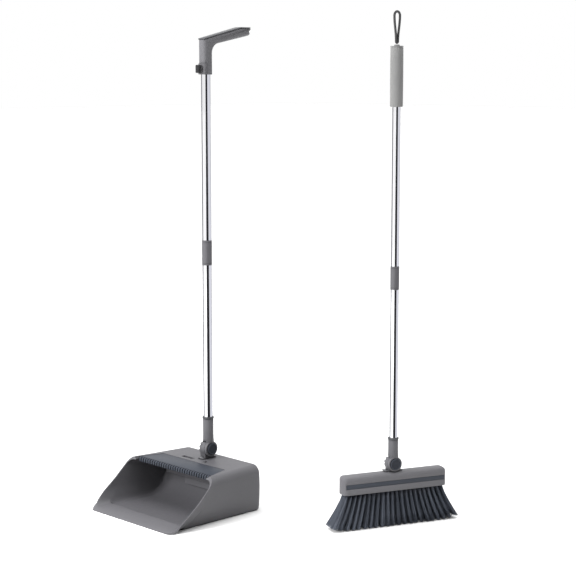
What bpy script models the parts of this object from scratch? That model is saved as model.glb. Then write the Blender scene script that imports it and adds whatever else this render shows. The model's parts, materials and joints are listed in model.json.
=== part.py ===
"""An upright dust pan and its broom, each on a two-piece tube with a folding, locking hinge.

The frame: metres, +Z up, the floor at z = 0. The origin lies on the pan's flat underside,
straight below the pan's tube. The pan's mouth faces -Y. The broom stands beside it.
"""

import math

import bmesh
import bpy
from mathutils import Matrix, Vector

for item in list(bpy.data.objects):
    bpy.data.objects.remove(item, do_unlink=True)

# ---- Fits -------------------------------------------------------------------------------
GAP = 0.0003  # left between pieces that touch
RUNNING = 0.0005  # left between pieces that turn or slide in each other
ROUND = 28  # sides of a tube
SMALL_ROUND = 16  # sides of a screw, a pin or a wire

# ---- Pan --------------------------------------------------------------------------------
PAN_WALL = 0.0024
PAN_TOP = 0.093  # height of the top
LIP_Y = -0.2085  # front of the lip
MOUTH_TOP_Y = -0.099  # where the mouth's edge reaches the top
MOUTH_HOLLOW = 0.0115  # how far the mouth's edge bows back from a straight line
MOUTH_UPRIGHT = 0.006  # height over which the edge starts upright, above the lip
PAN_REAR_Y = 0.038
LIP_CORNER = 0.0160  # rounding of the lip's corners, gone at this much height above it
LIP_CORNER_HIGH = 0.024
LIP_HALF = 0.1285  # half widths: lip, base, mouth at its widest, rear
BASE_HALF = 0.1148
MOUTH_HALF = 0.1335
REAR_HALF = 0.1170
FLARE_HEIGHT = 0.040  # height at which a side wall has leaned out fully
SIDE_LEAN = 0.0030  # how far a side leans back in above that height
TOP_ROUND = 0.018  # along the top's sides
REAR_ROUND = 0.010  # along the rear
BASE_ROUND = 0.004
RAMP_TOP = 0.0078  # crest of the ramp behind the lip
RAMP_DEPTH = 0.036
LIP_THICK = 0.0016
FLOOR_TOP = 0.0034
SCOOP_REAR_Y = -0.010  # rear wall of the dust space
SCOOP_RADIUS = 0.060  # curve that leads the floor up to that wall

SEAT_REAR_Y = -0.040  # comb's seat in the top
SEAT_DEPTH = 0.0030
SEAT_REAR_HALF = 0.0950
SEAT_FRONT_HALF = 0.1135
WINDOW_Y = -0.0885  # the top is cut away in front of this, under the teeth
WINDOW_INSET = 0.004

COMB_THICK = 0.0022
COMB_TEETH = 30
TOOTH_SHARE = 0.60  # share of the pitch that is tooth
TOOTH_REACH = 0.0062  # how far a tooth stands forward of the plate
TOOTH_DROP = 0.0092  # how far its tip hangs below the plate's top
TOOTH_THICK = 0.0048

BAFFLE_Y = -0.026
BAFFLE_THICK = 0.0024
BAFFLE_HALF = 0.103
BAFFLE_BOTTOM = 0.0505
BOSS_HALF = 0.046  # boss under the hinge, behind the baffle
BOSS_BOTTOM = 0.036

COVER_THICK = 0.0020  # cover that closes the underside behind the scoop
COVER_FRONT_Y = -0.044
POST_RADIUS = 0.0045
POST_X = 0.090
POST_REAR_Y = 0.024
POST_FRONT_Y = -0.002
COVER_HEAD = 0.0031  # radii of the cover's screws
COVER_SHANK = 0.0011
HEAD_SEAT = 0.0009
COVER_SCREW_TOP = 0.012
HOLLOW_EDGE = 0.010  # rounding of the space under the hinge
COVER_HALF = 0.0975

SLOT_LONG = 0.034  # shallow recesses in the top beside the bracket's foot
SLOT_SHORT = 0.008
SLOT_WIDE = 0.009
SLOT_APART = 0.017  # from the tube's axis to the near end of a recess
SLOT_FRONT_Y = -0.030
SLOT_DEEP = 0.0036

# ---- Hinges (one design in two sizes) ---------------------------------------------------
PAN_HINGE_Z = PAN_TOP + 0.0210
PAN_EAR = 0.0155  # radius of the ear and of the tongue's round top
PAN_BUTTON = 0.0120
BROOM_EAR = 0.0142
BROOM_BUTTON = 0.0114

TONGUE_LOW, TONGUE_HIGH = -0.0110, 0.0045  # along the hinge's axis
EAR_LOW, EAR_HIGH = 0.0050, 0.0110
EAR_FACE_SHARE = 0.85  # the ear's face is flat up to this share of its radius
CROTCH = 0.0012  # above the tongue's round top
SHOULDER_FLARE = 0.0006  # how much wider the sleeve is at its foot
SHOULDER_RISE = 0.016
STEM_NARROWER = 0.0034  # stem's half width under the ear's radius
FOOT_THICK = 0.0024
FOOT_SIDE = 0.0008  # foot's edge past the tongue's outer side
FOOT_HALF_Y = 0.0185
BRACKET_SCREW_Y = 0.0155
DETENTS = 7
DETENT_STEP = math.radians(30)
DETENT_WIDE = 0.0026
DETENT_DEEP = 0.0018
DETENT_LONG = 0.0060
BUTTON_POCKET = 0.0032  # depth of the button's pocket in the ear
BUTTON_STANDS = 0.0024  # button's face above the ear
BUTTON_TRAVEL = 0.0020
PLUNGER = 0.0058
PIN_RADIUS = 0.0028
PIN_HEAD = 0.0052
PIN_HEAD_THICK = 0.0012
POCKET_RADIUS = 0.0096  # lock's pocket in the tongue
POCKET_FLOOR = -0.0085
GEAR_LOW, GEAR_HIGH = -0.0034, 0.0034
GEAR_TEETH = 12
WIRE = 0.0004  # radius
SPRING_TURNS = 3

# ---- Sticks -----------------------------------------------------------------------------
PAN_TUBE = 0.0095  # radii
PAN_SLEEVE = PAN_TUBE + 0.00135
BROOM_TUBE = 0.0080
BROOM_SLEEVE = BROOM_TUBE + 0.0018
TUBE_WALL = 0.0008
RING_HIGH = 0.0042
RING_PROUD = 0.0009
SLEEVE_FLOOR = 0.0245  # bottom of a tube above the hinge
SPIGOT = 0.022  # coupling's reach into each tube
BAND_PROUD = 0.0005

PAN_SLEEVE_TOP = PAN_HINGE_Z + 0.0660
PAN_BAND = (0.491, 0.541)
PAN_TUBE_TOP = 0.915
BROOM_SLEEVE_TOP = 0.172
BROOM_BAND = (0.462, 0.507)
BROOM_TUBE_TOP = 0.905

# ---- Pan's hand grip --------------------------------------------------------------------
GRIP_BOTTOM = 0.8705
GRIP_HALF_X = PAN_TUBE + 0.0005
GRIP_HALF_Y = PAN_TUBE + 0.0017
GRIP_CORNER_Z = 0.9380  # front corner, under the top strip
GRIP_TIP_Y = 0.1130
GRIP_TOP_RISE = math.radians(13.5)
GRIP_UNDER_RISE = math.radians(11.3)
GRIP_FLAT_Y = 0.0870  # the top runs level from here to the tip
GRIP_UNDER_Z = 0.9262  # underside's line where it would cross the tube's axis
GRIP_BEND = 0.020
NOTCH = 0.0055
GRIP_EDGE = 0.0055
STRIP_THICK = 0.0028
STRIP_HALF = 0.0098
COLLAR_HIGH = 0.0215
COLLAR_WALL = 0.0014
COLLAR_WRAP = 0.0055  # how far it reaches round the grip's corners
PAD_STANDS = 0.0068
PAD_HIGH = 0.0160
PAD_HALF = 0.0052
NECK_REACH = 0.0030  # from the collar to the pad
NECK_HALF_X = 0.0040
NECK_HALF_Z = 0.0055

# ---- Broom ------------------------------------------------------------------------------
BROOM_AT = (0.364, 0.159)
BROOM_TURN = math.radians(-21.4)  # the broom's front normal, from +X
BLOCK_HALF = 0.1105
BLOCK_THICK = 0.0300
BLOCK_BOTTOM = 0.0690
BLOCK_TOP = 0.1050
BROOM_HINGE_Z = BLOCK_TOP + 0.0155
BLOCK_EDGE = 0.0075
BLOCK_WALL = 0.0026
STRIPE_LOW, STRIPE_HIGH = 0.0812, 0.0898
STRIPE_DEEP = 0.0012
PLATE_THICK = 0.0080
PLATE_INSET = 0.0018
BRISTLE_ROOT_HALF = 0.1060
BRISTLE_TIP_HALF = 0.1350
BRISTLE_ROOT_THICK = 0.0220
BRISTLE_TIP_THICK = 0.0440
BRISTLE_END_LIFT = 0.0060

FOAM_BOTTOM, FOAM_TOP = 0.810, 0.924
FOAM_RADIUS = 0.0125
CAP_THICK = 0.0020
CAP_BOSS = 0.0052
CAP_BOSS_HIGH = 0.0024
LOOP_TOP = 0.990
LOOP_HALF = 0.0077  # strand's middle from the loop's middle, at its widest
LOOP_FOOT_HALF = 0.0026
LOOP_STRAND = 0.0023

# ---- Looks: colour, roughness, metallic -------------------------------------------------
LOOKS = {
    "grey_plastic": ((0.155, 0.155, 0.165), 0.45, 0.0),
    "slate_plastic": ((0.055, 0.062, 0.075), 0.40, 0.0),
    "dark_plastic": ((0.045, 0.046, 0.050), 0.35, 0.0),
    "chrome": ((0.80, 0.80, 0.82), 0.12, 1.0),
    "steel": ((0.55, 0.55, 0.56), 0.30, 1.0),
    "bristle": ((0.032, 0.037, 0.046), 0.55, 0.0),
    "foam": ((0.30, 0.30, 0.30), 0.80, 0.0),
    "rubber": ((0.012, 0.012, 0.013), 0.60, 0.0),
}


def material_for(name, look):
    """Each sub-part has its own material, with its finish's colour, roughness and metallic value."""
    colour, roughness, metallic = LOOKS[look]
    material = bpy.data.materials.new(name)
    material.use_nodes = True
    shader = material.node_tree.nodes["Principled BSDF"]
    shader.inputs["Base Color"].default_value = (*colour, 1.0)
    shader.inputs["Roughness"].default_value = roughness
    shader.inputs["Metallic"].default_value = metallic
    return material


def put(name, shape, place, look=None, sharp=math.radians(35)):
    """Make an object of a bmesh. Without a look it is a hidden tool for a Boolean."""
    bmesh.ops.recalc_face_normals(shape, faces=shape.faces)
    mesh = bpy.data.meshes.new(name)
    shape.to_mesh(mesh)
    shape.free()
    piece = bpy.data.objects.new(name, mesh)
    bpy.context.scene.collection.objects.link(piece)
    piece.matrix_world = place
    if look:
        mesh.shade_smooth()
        mesh.set_sharp_from_angle(angle=sharp)
        mesh.materials.append(material_for(name, look))
    else:
        piece.hide_render = True
        piece.display_type = "WIRE"
    return piece


def combine(piece, tool, operation):
    """Cut a piece with a hidden tool, or join the tool to it."""
    boolean = piece.modifiers.new(tool.name, "BOOLEAN")
    boolean.operation = operation
    boolean.solver = "EXACT"
    boolean.object = tool


def bevel(piece, width, segments=2, angle=math.radians(40)):
    rounding = piece.modifiers.new("rounding", "BEVEL")
    rounding.width = width
    rounding.segments = segments
    rounding.limit_method = "ANGLE"
    rounding.angle_limit = angle


def turned(profile, steps=ROUND):
    """Spin (radius, height) points round the local Z axis. A profile that leaves the axis is closed."""
    shape = bmesh.new()
    points = [shape.verts.new((radius, 0, height)) for radius, height in profile]
    edges = [shape.edges.new(pair) for pair in zip(points, points[1:])]
    if profile[0][0] > 0:
        edges.append(shape.edges.new((points[-1], points[0])))
    bmesh.ops.spin(shape, geom=points + edges, cent=(0, 0, 0), axis=(0, 0, 1),
                   angle=2 * math.pi, steps=steps, use_merge=True)
    bmesh.ops.remove_doubles(shape, verts=shape.verts, dist=1e-6)
    return shape


def tube_profile(outer, inner, low, high):
    return [(inner, low), (outer, low), (outer, high), (inner, high)]


def rod_profile(radius, low, high):
    return [(0, low), (radius, low), (radius, high), (0, high)]


def add_plate(shape, outline, low, high):
    """Extrude a (y, z) outline along local X, from low to high."""
    face = shape.faces.new([shape.verts.new((low, y, z)) for y, z in outline])
    grown = bmesh.ops.extrude_face_region(shape, geom=[face])
    moved = [part for part in grown["geom"] if isinstance(part, bmesh.types.BMVert)]
    bmesh.ops.translate(shape, verts=moved, vec=(high - low, 0, 0))


def plate(outline, low, high):
    shape = bmesh.new()
    add_plate(shape, outline, low, high)
    return shape


def block(low, high):
    """A box between two corners."""
    (x0, y0, z0), (x1, y1, z1) = low, high
    return plate([(y0, z0), (y1, z0), (y1, z1), (y0, z1)], x0, x1)


def arc(centre, radius, start, end, steps):
    """Points of an arc in a (y, z) outline, both ends included; angles in degrees."""
    angles = [math.radians(start + (end - start) * i / steps) for i in range(steps + 1)]
    return [(centre[0] + radius * math.cos(a), centre[1] + radius * math.sin(a)) for a in angles]


def on_z(x, y, z):
    return Matrix.Translation((x, y, z))


ALONG_X = Matrix.Rotation(math.radians(90), 4, "Y")  # turns a local Z axis to +X
PAN = Matrix.Identity(4)
BROOM = Matrix.Translation((*BROOM_AT, 0)) @ Matrix.Rotation(BROOM_TURN, 4, "Z")


# ---- Pan body ---------------------------------------------------------------------------
def risen(z):
    """Height along the mouth's edge, counted slowly near the lip so that the edge starts upright."""
    return z * z / (max(z, 0) + MOUTH_UPRIGHT)


def mouth_y(z):
    """The mouth's edge, from the lip to the top, bowed back from a straight line."""
    share = risen(z) / risen(PAN_TOP)
    straight = LIP_Y + (MOUTH_TOP_Y - LIP_Y) * share
    return straight + 4 * MOUTH_HOLLOW * share * (1 - share)


def corner_back(x, z):
    """How far the mouth's edge steps back at (x, z) to round the lip's corners."""
    past = min(max(abs(x) - (LIP_HALF - LIP_CORNER), 0.0), LIP_CORNER)
    back = LIP_CORNER - math.sqrt(LIP_CORNER ** 2 - past ** 2)
    return back * max(0.0, 1 - z / LIP_CORNER_HIGH)


def side_x(t, z):
    """Half width at t (0 at the mouth, 1 at the rear) and height z, before the roundings."""
    lip_share = max(0.0, 1 - t / 0.15) ** 1.5
    base = BASE_HALF + (LIP_HALF - BASE_HALF) * lip_share
    upper = MOUTH_HALF + (REAR_HALF - MOUTH_HALF) * t
    leaned = math.sin(math.pi / 2 * min(max(z, 0) / FLARE_HEIGHT, 1.0))
    lean_in = SIDE_LEAN * max(0.0, (z - FLARE_HEIGHT) / (PAN_TOP - FLARE_HEIGHT)) ** 2
    return base + (upper - base) * leaned - lean_in


def pan_half_section(t, inset, bottom, top):
    """Points (x, z) down one side of the pan, from the middle of its top to that of its floor."""
    round_top = TOP_ROUND - inset
    round_base = BASE_ROUND if inset == 0 else BASE_ROUND + 0.008
    shoulder = top - round_top
    height = max(shoulder - bottom, 1e-4)
    round_base = min(round_base, height * 0.6)
    centre = side_x(t, shoulder) - inset - round_top
    points = [(centre * share, top) for share in (0, 0.35, 0.7)]
    points += [(centre + round_top * math.sin(math.radians(a)),
                shoulder + round_top * math.cos(math.radians(a))) for a in range(0, 91, 15)]
    low = bottom + round_base
    for share in (0.33, 0.62, 0.84):
        z = shoulder + (low - shoulder) * share
        points.append((side_x(t, z) - inset, z))
    edge = side_x(t, low) - inset
    points += [(edge - round_base * (1 - math.cos(math.radians(a))),
                low - round_base * math.sin(math.radians(a))) for a in range(0, 91, 30)]
    points += [((edge - round_base) * share, bottom) for share in (0.985, 0.965, 0.94, 0.90, 0.66, 0.33, 0)]
    return points


def floor_height(y, inset):
    """The pan's floor along its length: the ramp behind the lip, the flat, and the scoop's curve."""
    crest = LIP_Y + RAMP_DEPTH
    under = inset == 0
    if y <= crest:
        share = (y - LIP_Y) / RAMP_DEPTH
        top = LIP_THICK + (RAMP_TOP - LIP_THICK) * share
        return max(0.0, top - PAN_WALL) if under else top
    if under:
        return 0.0
    if y <= crest + 0.008:
        return RAMP_TOP + (FLOOR_TOP - RAMP_TOP) * (y - crest) / 0.008
    curve_start = SCOOP_REAR_Y - SCOOP_RADIUS
    if y <= curve_start:
        return FLOOR_TOP
    run = min(y - curve_start, SCOOP_RADIUS * 0.995)
    return FLOOR_TOP + SCOOP_RADIUS - math.sqrt(SCOOP_RADIUS ** 2 - run ** 2)


def pan_ring(shape, t, inset, rear_y, top, shrink=0.0):
    """One closed ring of the pan's skin: right side down, then left side up."""
    floor_y = LIP_Y + (rear_y - LIP_Y) * t
    bottom = floor_height(floor_y, inset)
    if shrink:
        bottom += shrink
        top -= shrink
    half = pan_half_section(t * (rear_y - LIP_Y) / (PAN_REAR_Y - LIP_Y), inset, bottom, top)
    half = [(max(x - shrink, 0) if x else 0, z) for x, z in half]
    loop = half + [(-x, z) for x, z in reversed(half[1:-1])]
    return [shape.verts.new((x, (mouth_y(z) + corner_back(x, z)) * (1 - t) + rear_y * t, z))
            for x, z in loop]


def pan_shell():
    """The outer skin runs back from the mouth, and the inner skin runs forward to it again."""
    shape = bmesh.new()
    crest = RAMP_DEPTH / (PAN_REAR_Y - LIP_Y)
    outer_ts = [0, 0.05, 0.10, crest, crest + 0.012, 0.3, 0.45, 0.6, 0.75, 0.88, 0.955]
    rings = [pan_ring(shape, t, 0, PAN_REAR_Y, PAN_TOP) for t in outer_ts]
    for share in (0.30, 0.65, 1.0):
        turn = math.asin(share)
        back = 0.955 + 0.045 * math.sin(turn)
        rings.append(pan_ring(shape, back, 0, PAN_REAR_Y, PAN_TOP,
                              shrink=REAR_ROUND * (1 - math.cos(turn)) * 0.5 + 1e-5))
    outer_rear = rings[-1]
    inner_top = PAN_TOP - SEAT_DEPTH - PAN_WALL
    inner_length = SCOOP_REAR_Y - LIP_Y
    inner_ts = [1.0, 0.96, 0.91, 0.86, 0.80, 0.73, 0.64, 0.5, 0.35,
                (RAMP_DEPTH + 0.008) / inner_length, RAMP_DEPTH / inner_length, 0.12, 0.06, 0]
    inner = [pan_ring(shape, t, PAN_WALL, SCOOP_REAR_Y, inner_top) for t in inner_ts]
    rings += [None] + inner
    for one, other in zip(rings, rings[1:]):
        if one is None or other is None:
            continue
        join_rings(shape, one, other)
    join_rings(shape, inner[-1], rings[0])
    shape.faces.new(outer_rear)
    shape.faces.new(inner[0])
    return shape


def join_rings(shape, one, other):
    count = len(one)
    for i in range(count):
        j = (i + 1) % count
        shape.faces.new((one[i], one[j], other[j], other[i]))


def seat_outline(front_y, inset, low, high):
    """A block over the comb's seat, narrower at the rear, between two heights."""
    slope = (SEAT_FRONT_HALF - SEAT_REAR_HALF) / (SEAT_REAR_Y - MOUTH_TOP_Y)
    shape = bmesh.new()
    rear_y = SEAT_REAR_Y - inset
    front_half = SEAT_REAR_HALF + slope * (SEAT_REAR_Y - front_y) - inset
    rear_half = SEAT_REAR_HALF - inset
    corners = [(-front_half, front_y), (front_half, front_y), (rear_half, rear_y), (-rear_half, rear_y)]
    face = shape.faces.new([shape.verts.new((x, y, low)) for x, y in corners])
    grown = bmesh.ops.extrude_face_region(shape, geom=[face])
    moved = [part for part in grown["geom"] if isinstance(part, bmesh.types.BMVert)]
    bmesh.ops.translate(shape, verts=moved, vec=(0, 0, high - low))
    return shape


def post_places():
    return [(side * POST_X, y) for side in (-1, 1) for y in (POST_FRONT_Y, POST_REAR_Y)]


def make_pan_body():
    body = put("pan_body", pan_shell(), PAN, "grey_plastic")
    seat = put("tool_seat", seat_outline(LIP_Y, 0, PAN_TOP - SEAT_DEPTH, PAN_TOP + 0.01), PAN)
    combine(body, seat, "DIFFERENCE")
    window_half = SEAT_FRONT_HALF - WINDOW_INSET
    window = block((-window_half, LIP_Y, PAN_TOP - 0.012), (window_half, WINDOW_Y, PAN_TOP + 0.01))
    combine(body, put("tool_window", window, PAN), "DIFFERENCE")

    # The space under the hinge, open below, with a wall's thickness left all round it.
    radius = SCOOP_RADIUS + PAN_WALL
    curve_centre = (SCOOP_REAR_Y - SCOOP_RADIUS, FLOOR_TOP + SCOOP_RADIUS)
    hollow_low = COVER_THICK + GAP
    hollow_top = PAN_TOP - SLOT_DEEP - PAN_WALL
    rear = PAN_REAR_Y - PAN_WALL
    outline = arc(curve_centre, radius, -60, -8, 6)
    outline += [(SCOOP_REAR_Y + PAN_WALL, hollow_top), (rear, hollow_top), (rear, hollow_low),
                (COVER_FRONT_Y + 0.004, hollow_low)]
    hollow_half = BASE_HALF - PAN_WALL - SIDE_LEAN / 2
    hollow = put("tool_hollow", plate(outline, -hollow_half, hollow_half), PAN)
    bevel(hollow, HOLLOW_EDGE, 3)
    combine(body, hollow, "DIFFERENCE")
    # The cover's opening rises no higher at its front than the scoop's curve allows.
    raised = hollow_low + HOLLOW_EDGE
    mouth = [(COVER_FRONT_Y, -0.01), (cover_rear_y(), -0.01), (cover_rear_y(), raised),
             (COVER_FRONT_Y + 0.012, raised), (COVER_FRONT_Y, hollow_low + 0.0025)]
    combine(body, put("tool_opening", plate(mouth, -COVER_HALF, COVER_HALF), PAN), "DIFFERENCE")
    for index, (x, y) in enumerate(post_places()):
        low = COVER_THICK + GAP
        profile = tube_profile(POST_RADIUS, 0.0014, low, hollow_top + 0.001)
        reach = put(f"tool_post_{index}", turned(profile, SMALL_ROUND), on_z(x, y, 0))
        combine(body, reach, "UNION")

    # The boss that stiffens the top under the hinge.
    boss = block((-BOSS_HALF, BAFFLE_Y + BAFFLE_THICK / 2 + GAP, BOSS_BOTTOM),
                 (BOSS_HALF, SCOOP_REAR_Y + 0.001, PAN_TOP - SEAT_DEPTH - 0.001))
    combine(body, put("tool_boss", boss, PAN), "UNION")

    # Two shallow recesses in the top, one on each side of the bracket's foot.
    for index, (low_x, high_x) in enumerate(((-SLOT_APART - SLOT_LONG, -SLOT_APART),
                                             (SLOT_APART, SLOT_APART + SLOT_SHORT))):
        recess = block((low_x, SLOT_FRONT_Y, PAN_TOP - SLOT_DEEP),
                       (high_x, SLOT_FRONT_Y + SLOT_WIDE, PAN_TOP + 0.01))
        combine(body, put(f"tool_slot_{index}", recess, PAN), "DIFFERENCE")
    for index, (x, y) in enumerate(bracket_screw_places()):
        drill = turned(rod_profile(0.0016, PAN_TOP - 0.009, PAN_TOP + 0.01), SMALL_ROUND)
        combine(body, put(f"tool_drill_{index}", drill, on_z(x, y, 0)), "DIFFERENCE")


def cover_rear_y():
    """Rear edge of the opening that the cover fills."""
    return PAN_REAR_Y - PAN_WALL - REAR_ROUND / 2


def make_pan_cover():
    half = COVER_HALF - GAP
    shape = block((-half, COVER_FRONT_Y + GAP, 0), (half, cover_rear_y() - GAP, COVER_THICK))
    cover = put("pan_base_cover", shape, PAN, "grey_plastic")
    for index, (x, y) in enumerate(post_places()):
        place = on_z(x, y, 0)
        sink, shank = COVER_HEAD + GAP, COVER_SHANK + 0.0006
        hole = [(0, -0.001), (sink, -0.001), (sink, HEAD_SEAT + GAP), (shank, HEAD_SEAT + GAP),
                (shank, 0.01), (0, 0.01)]
        combine(cover, put(f"tool_cover_hole_{index}", turned(hole, SMALL_ROUND), place), "DIFFERENCE")
        screw = [(0, 0.0002), (COVER_HEAD, 0.0002), (COVER_HEAD, HEAD_SEAT), (COVER_SHANK, HEAD_SEAT),
                 (COVER_SHANK, COVER_SCREW_TOP), (0, COVER_SCREW_TOP)]
        put(f"pan_cover_screw_{index + 1}", turned(screw, SMALL_ROUND), place, "steel")


def make_comb():
    """The plate lies in the seat, and its front edge carries the teeth that strip the broom."""
    low = PAN_TOP - SEAT_DEPTH + GAP
    comb = put("pan_comb", seat_outline(WINDOW_Y, GAP, low, low + COMB_THICK), PAN, "slate_plastic")
    slope = (SEAT_FRONT_HALF - SEAT_REAR_HALF) / (SEAT_REAR_Y - MOUTH_TOP_Y)
    half = SEAT_REAR_HALF + slope * (SEAT_REAR_Y - WINDOW_Y) - 2 * GAP - 0.001
    pitch = 2 * half / COMB_TEETH
    top = low + COMB_THICK
    root, tip = WINDOW_Y + 0.002, WINDOW_Y - TOOTH_REACH
    outline = [(root, top - 0.0001), (root, low + 0.0001), (WINDOW_Y - GAP, low + 0.0001),
               (tip + TOOTH_THICK + 0.0004, low - 0.0012), (tip + TOOTH_THICK, top - TOOTH_DROP),
               (tip + 0.0006, top - TOOTH_DROP), (tip, top - TOOTH_DROP + 0.0008),
               (tip, top - 0.0026), (tip + 0.0022, top - 0.0001)]
    teeth = bmesh.new()
    for index in range(COMB_TEETH):
        middle = -half + pitch * (index + 0.5)
        reach = pitch * TOOTH_SHARE / 2
        add_plate(teeth, outline, middle - reach, middle + reach)
    combine(comb, put("tool_teeth", teeth, PAN), "UNION")


def make_baffle():
    """The flap under the top that keeps the dust in when the pan is carried."""
    y = BAFFLE_Y - BAFFLE_THICK / 2
    top = PAN_TOP - SEAT_DEPTH - PAN_WALL - GAP
    shape = block((-BAFFLE_HALF, y, BAFFLE_BOTTOM), (BAFFLE_HALF, y + BAFFLE_THICK, top))
    baffle = put("pan_baffle", shape, PAN, "grey_plastic")
    bevel(baffle, 0.0009, 1)


# ---- Hinge ------------------------------------------------------------------------------
def bracket_screw_places():
    """The foot's two screws, before and behind the stem."""
    x = (TONGUE_LOW + TONGUE_HIGH) / 2
    return [(x, -BRACKET_SCREW_Y), (x, BRACKET_SCREW_Y)]


def make_bracket(name, place, ear, drop):
    """A foot, a stem and a round tongue with detents. drop is from the axis to the foot's underside."""
    stem = ear - STEM_NARROWER
    outline = [(-stem, -drop + 0.0005), (stem, -drop + 0.0005)]
    outline += arc((0, 0), ear, -35, 215, 20)
    bracket = put(name, plate(outline, TONGUE_LOW, TONGUE_HIGH), place, "grey_plastic")
    foot = put(f"tool_{name}_foot",
               block((TONGUE_LOW - FOOT_SIDE, -FOOT_HALF_Y, -drop),
                     (TONGUE_HIGH - GAP, FOOT_HALF_Y, -drop + FOOT_THICK)), place)
    bevel(foot, 0.0008, 1)
    combine(bracket, foot, "UNION")
    pocket = turned(rod_profile(POCKET_RADIUS, POCKET_FLOOR, TONGUE_HIGH + 0.01), SMALL_ROUND + 8)
    combine(bracket, put(f"tool_{name}_pocket", pocket, place @ ALONG_X), "DIFFERENCE")
    bore = turned(rod_profile(PIN_RADIUS + GAP, TONGUE_LOW - 0.01, 0), SMALL_ROUND)
    combine(bracket, put(f"tool_{name}_bore", bore, place @ ALONG_X), "DIFFERENCE")
    notches = bmesh.new()
    for index in range(DETENTS):
        angle = (index - (DETENTS - 1) / 2) * DETENT_STEP
        turn = Matrix.Rotation(angle, 4, "X")
        size = Vector((DETENT_LONG + 0.001, DETENT_WIDE, 2 * DETENT_DEEP))
        centre = Vector((TONGUE_LOW + DETENT_LONG / 2 - 0.0005, 0, ear))
        made = bmesh.ops.create_cube(notches, size=1)
        bmesh.ops.scale(notches, verts=made["verts"], vec=size)
        bmesh.ops.translate(notches, verts=made["verts"], vec=centre)
        bmesh.ops.transform(notches, verts=made["verts"], matrix=turn)
    combine(bracket, put(f"tool_{name}_detents", notches, place), "DIFFERENCE")
    for index, (x, y) in enumerate(bracket_screw_places()):
        hole = turned(rod_profile(0.0018, -drop - 0.01, -drop + 0.01), SMALL_ROUND)
        combine(bracket, put(f"tool_{name}_hole_{index}", hole, place @ on_z(x, y, 0)), "DIFFERENCE")


def make_bracket_screws(prefix, place, drop):
    """The two screws that hold the foot down."""
    seat = -drop + FOOT_THICK + GAP
    for index, (x, y) in enumerate(bracket_screw_places()):
        profile = [(0, seat - 0.0075), (0.0012, seat - 0.0075), (0.0012, seat), (0.0029, seat),
                   (0.0026, seat + 0.0011), (0, seat + 0.0014)]
        screw = turned(profile, SMALL_ROUND)
        put(f"{prefix}_bracket_screw_{index + 1}", screw, place @ on_z(x, y, 0), "steel")


def make_lock(prefix, place):
    """The pin, the toothed lock ring and the spring behind it, all on the hinge's axis."""
    axis = place @ ALONG_X
    head = TONGUE_LOW - GAP
    pin_end = EAR_HIGH - BUTTON_POCKET + 0.0012
    pin = [(0, head - PIN_HEAD_THICK), (PIN_HEAD - 0.0006, head - PIN_HEAD_THICK), (PIN_HEAD, head - 0.0006),
           (PIN_HEAD, head), (PIN_RADIUS, head), (PIN_RADIUS, pin_end), (0, pin_end)]
    put(f"{prefix}_hinge_pin", turned(pin, SMALL_ROUND), axis, "steel")
    gear = bmesh.new()
    outline = []
    for index in range(2 * GEAR_TEETH):
        radius = POCKET_RADIUS - (0.0005 if index % 2 == 0 else 0.0016)
        for shift in (-0.3, 0.3):
            angle = math.pi * (index + shift) / GEAR_TEETH
            outline.append((radius * math.cos(angle), radius * math.sin(angle)))
    gear = put(f"{prefix}_lock_gear", plate(outline, GEAR_LOW, GEAR_HIGH), place, "dark_plastic")
    bore = turned(rod_profile(PIN_RADIUS + GAP, GEAR_LOW - 0.01, GEAR_HIGH + 0.01), SMALL_ROUND)
    combine(gear, put(f"tool_{prefix}_gear_bore", bore, axis), "DIFFERENCE")
    spring_low, spring_high = POCKET_FLOOR + WIRE + GAP, GEAR_LOW - WIRE - GAP
    make_spring(f"{prefix}_lock_spring", axis, 0.0062, spring_low, spring_high)


def make_spring(name, place, radius, low, high):
    """A round-wire coil round the local Z axis."""
    steps = 10 * SPRING_TURNS
    curve = bpy.data.curves.new(name, "CURVE")
    curve.dimensions = "3D"
    curve.bevel_depth = WIRE
    curve.bevel_resolution = 1
    curve.use_fill_caps = True
    line = curve.splines.new("POLY")
    line.points.add(steps)
    for index, point in enumerate(line.points):
        angle = 2 * math.pi * index / 10
        height = low + (high - low) * index / steps
        point.co = (radius * math.cos(angle), radius * math.sin(angle), height, 1)
    curve.materials.append(material_for(name, "steel"))
    piece = bpy.data.objects.new(name, curve)
    bpy.context.scene.collection.objects.link(piece)
    piece.matrix_world = place


def make_button(name, place, ear_button):
    """A dished disc with a plunger on its back. It slides along the hinge's axis."""
    back = EAR_HIGH - BUTTON_POCKET + BUTTON_TRAVEL + GAP
    face = EAR_HIGH + BUTTON_STANDS
    plunger_end = EAR_LOW + BUTTON_TRAVEL
    hollow = PIN_RADIUS + GAP
    profile = [(hollow, plunger_end), (PLUNGER - GAP, plunger_end), (PLUNGER - GAP, back),
               (ear_button - RUNNING, back), (ear_button - RUNNING, face - 0.0009),
               (ear_button - RUNNING - 0.0009, face), (ear_button * 0.80, face),
               (ear_button * 0.72, face - 0.0006), (0, face - 0.0006),
               (0, back + 0.0024), (hollow, back + 0.0024)]
    put(name, turned(profile + [profile[0]], ROUND), place @ ALONG_X, "slate_plastic")


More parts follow.
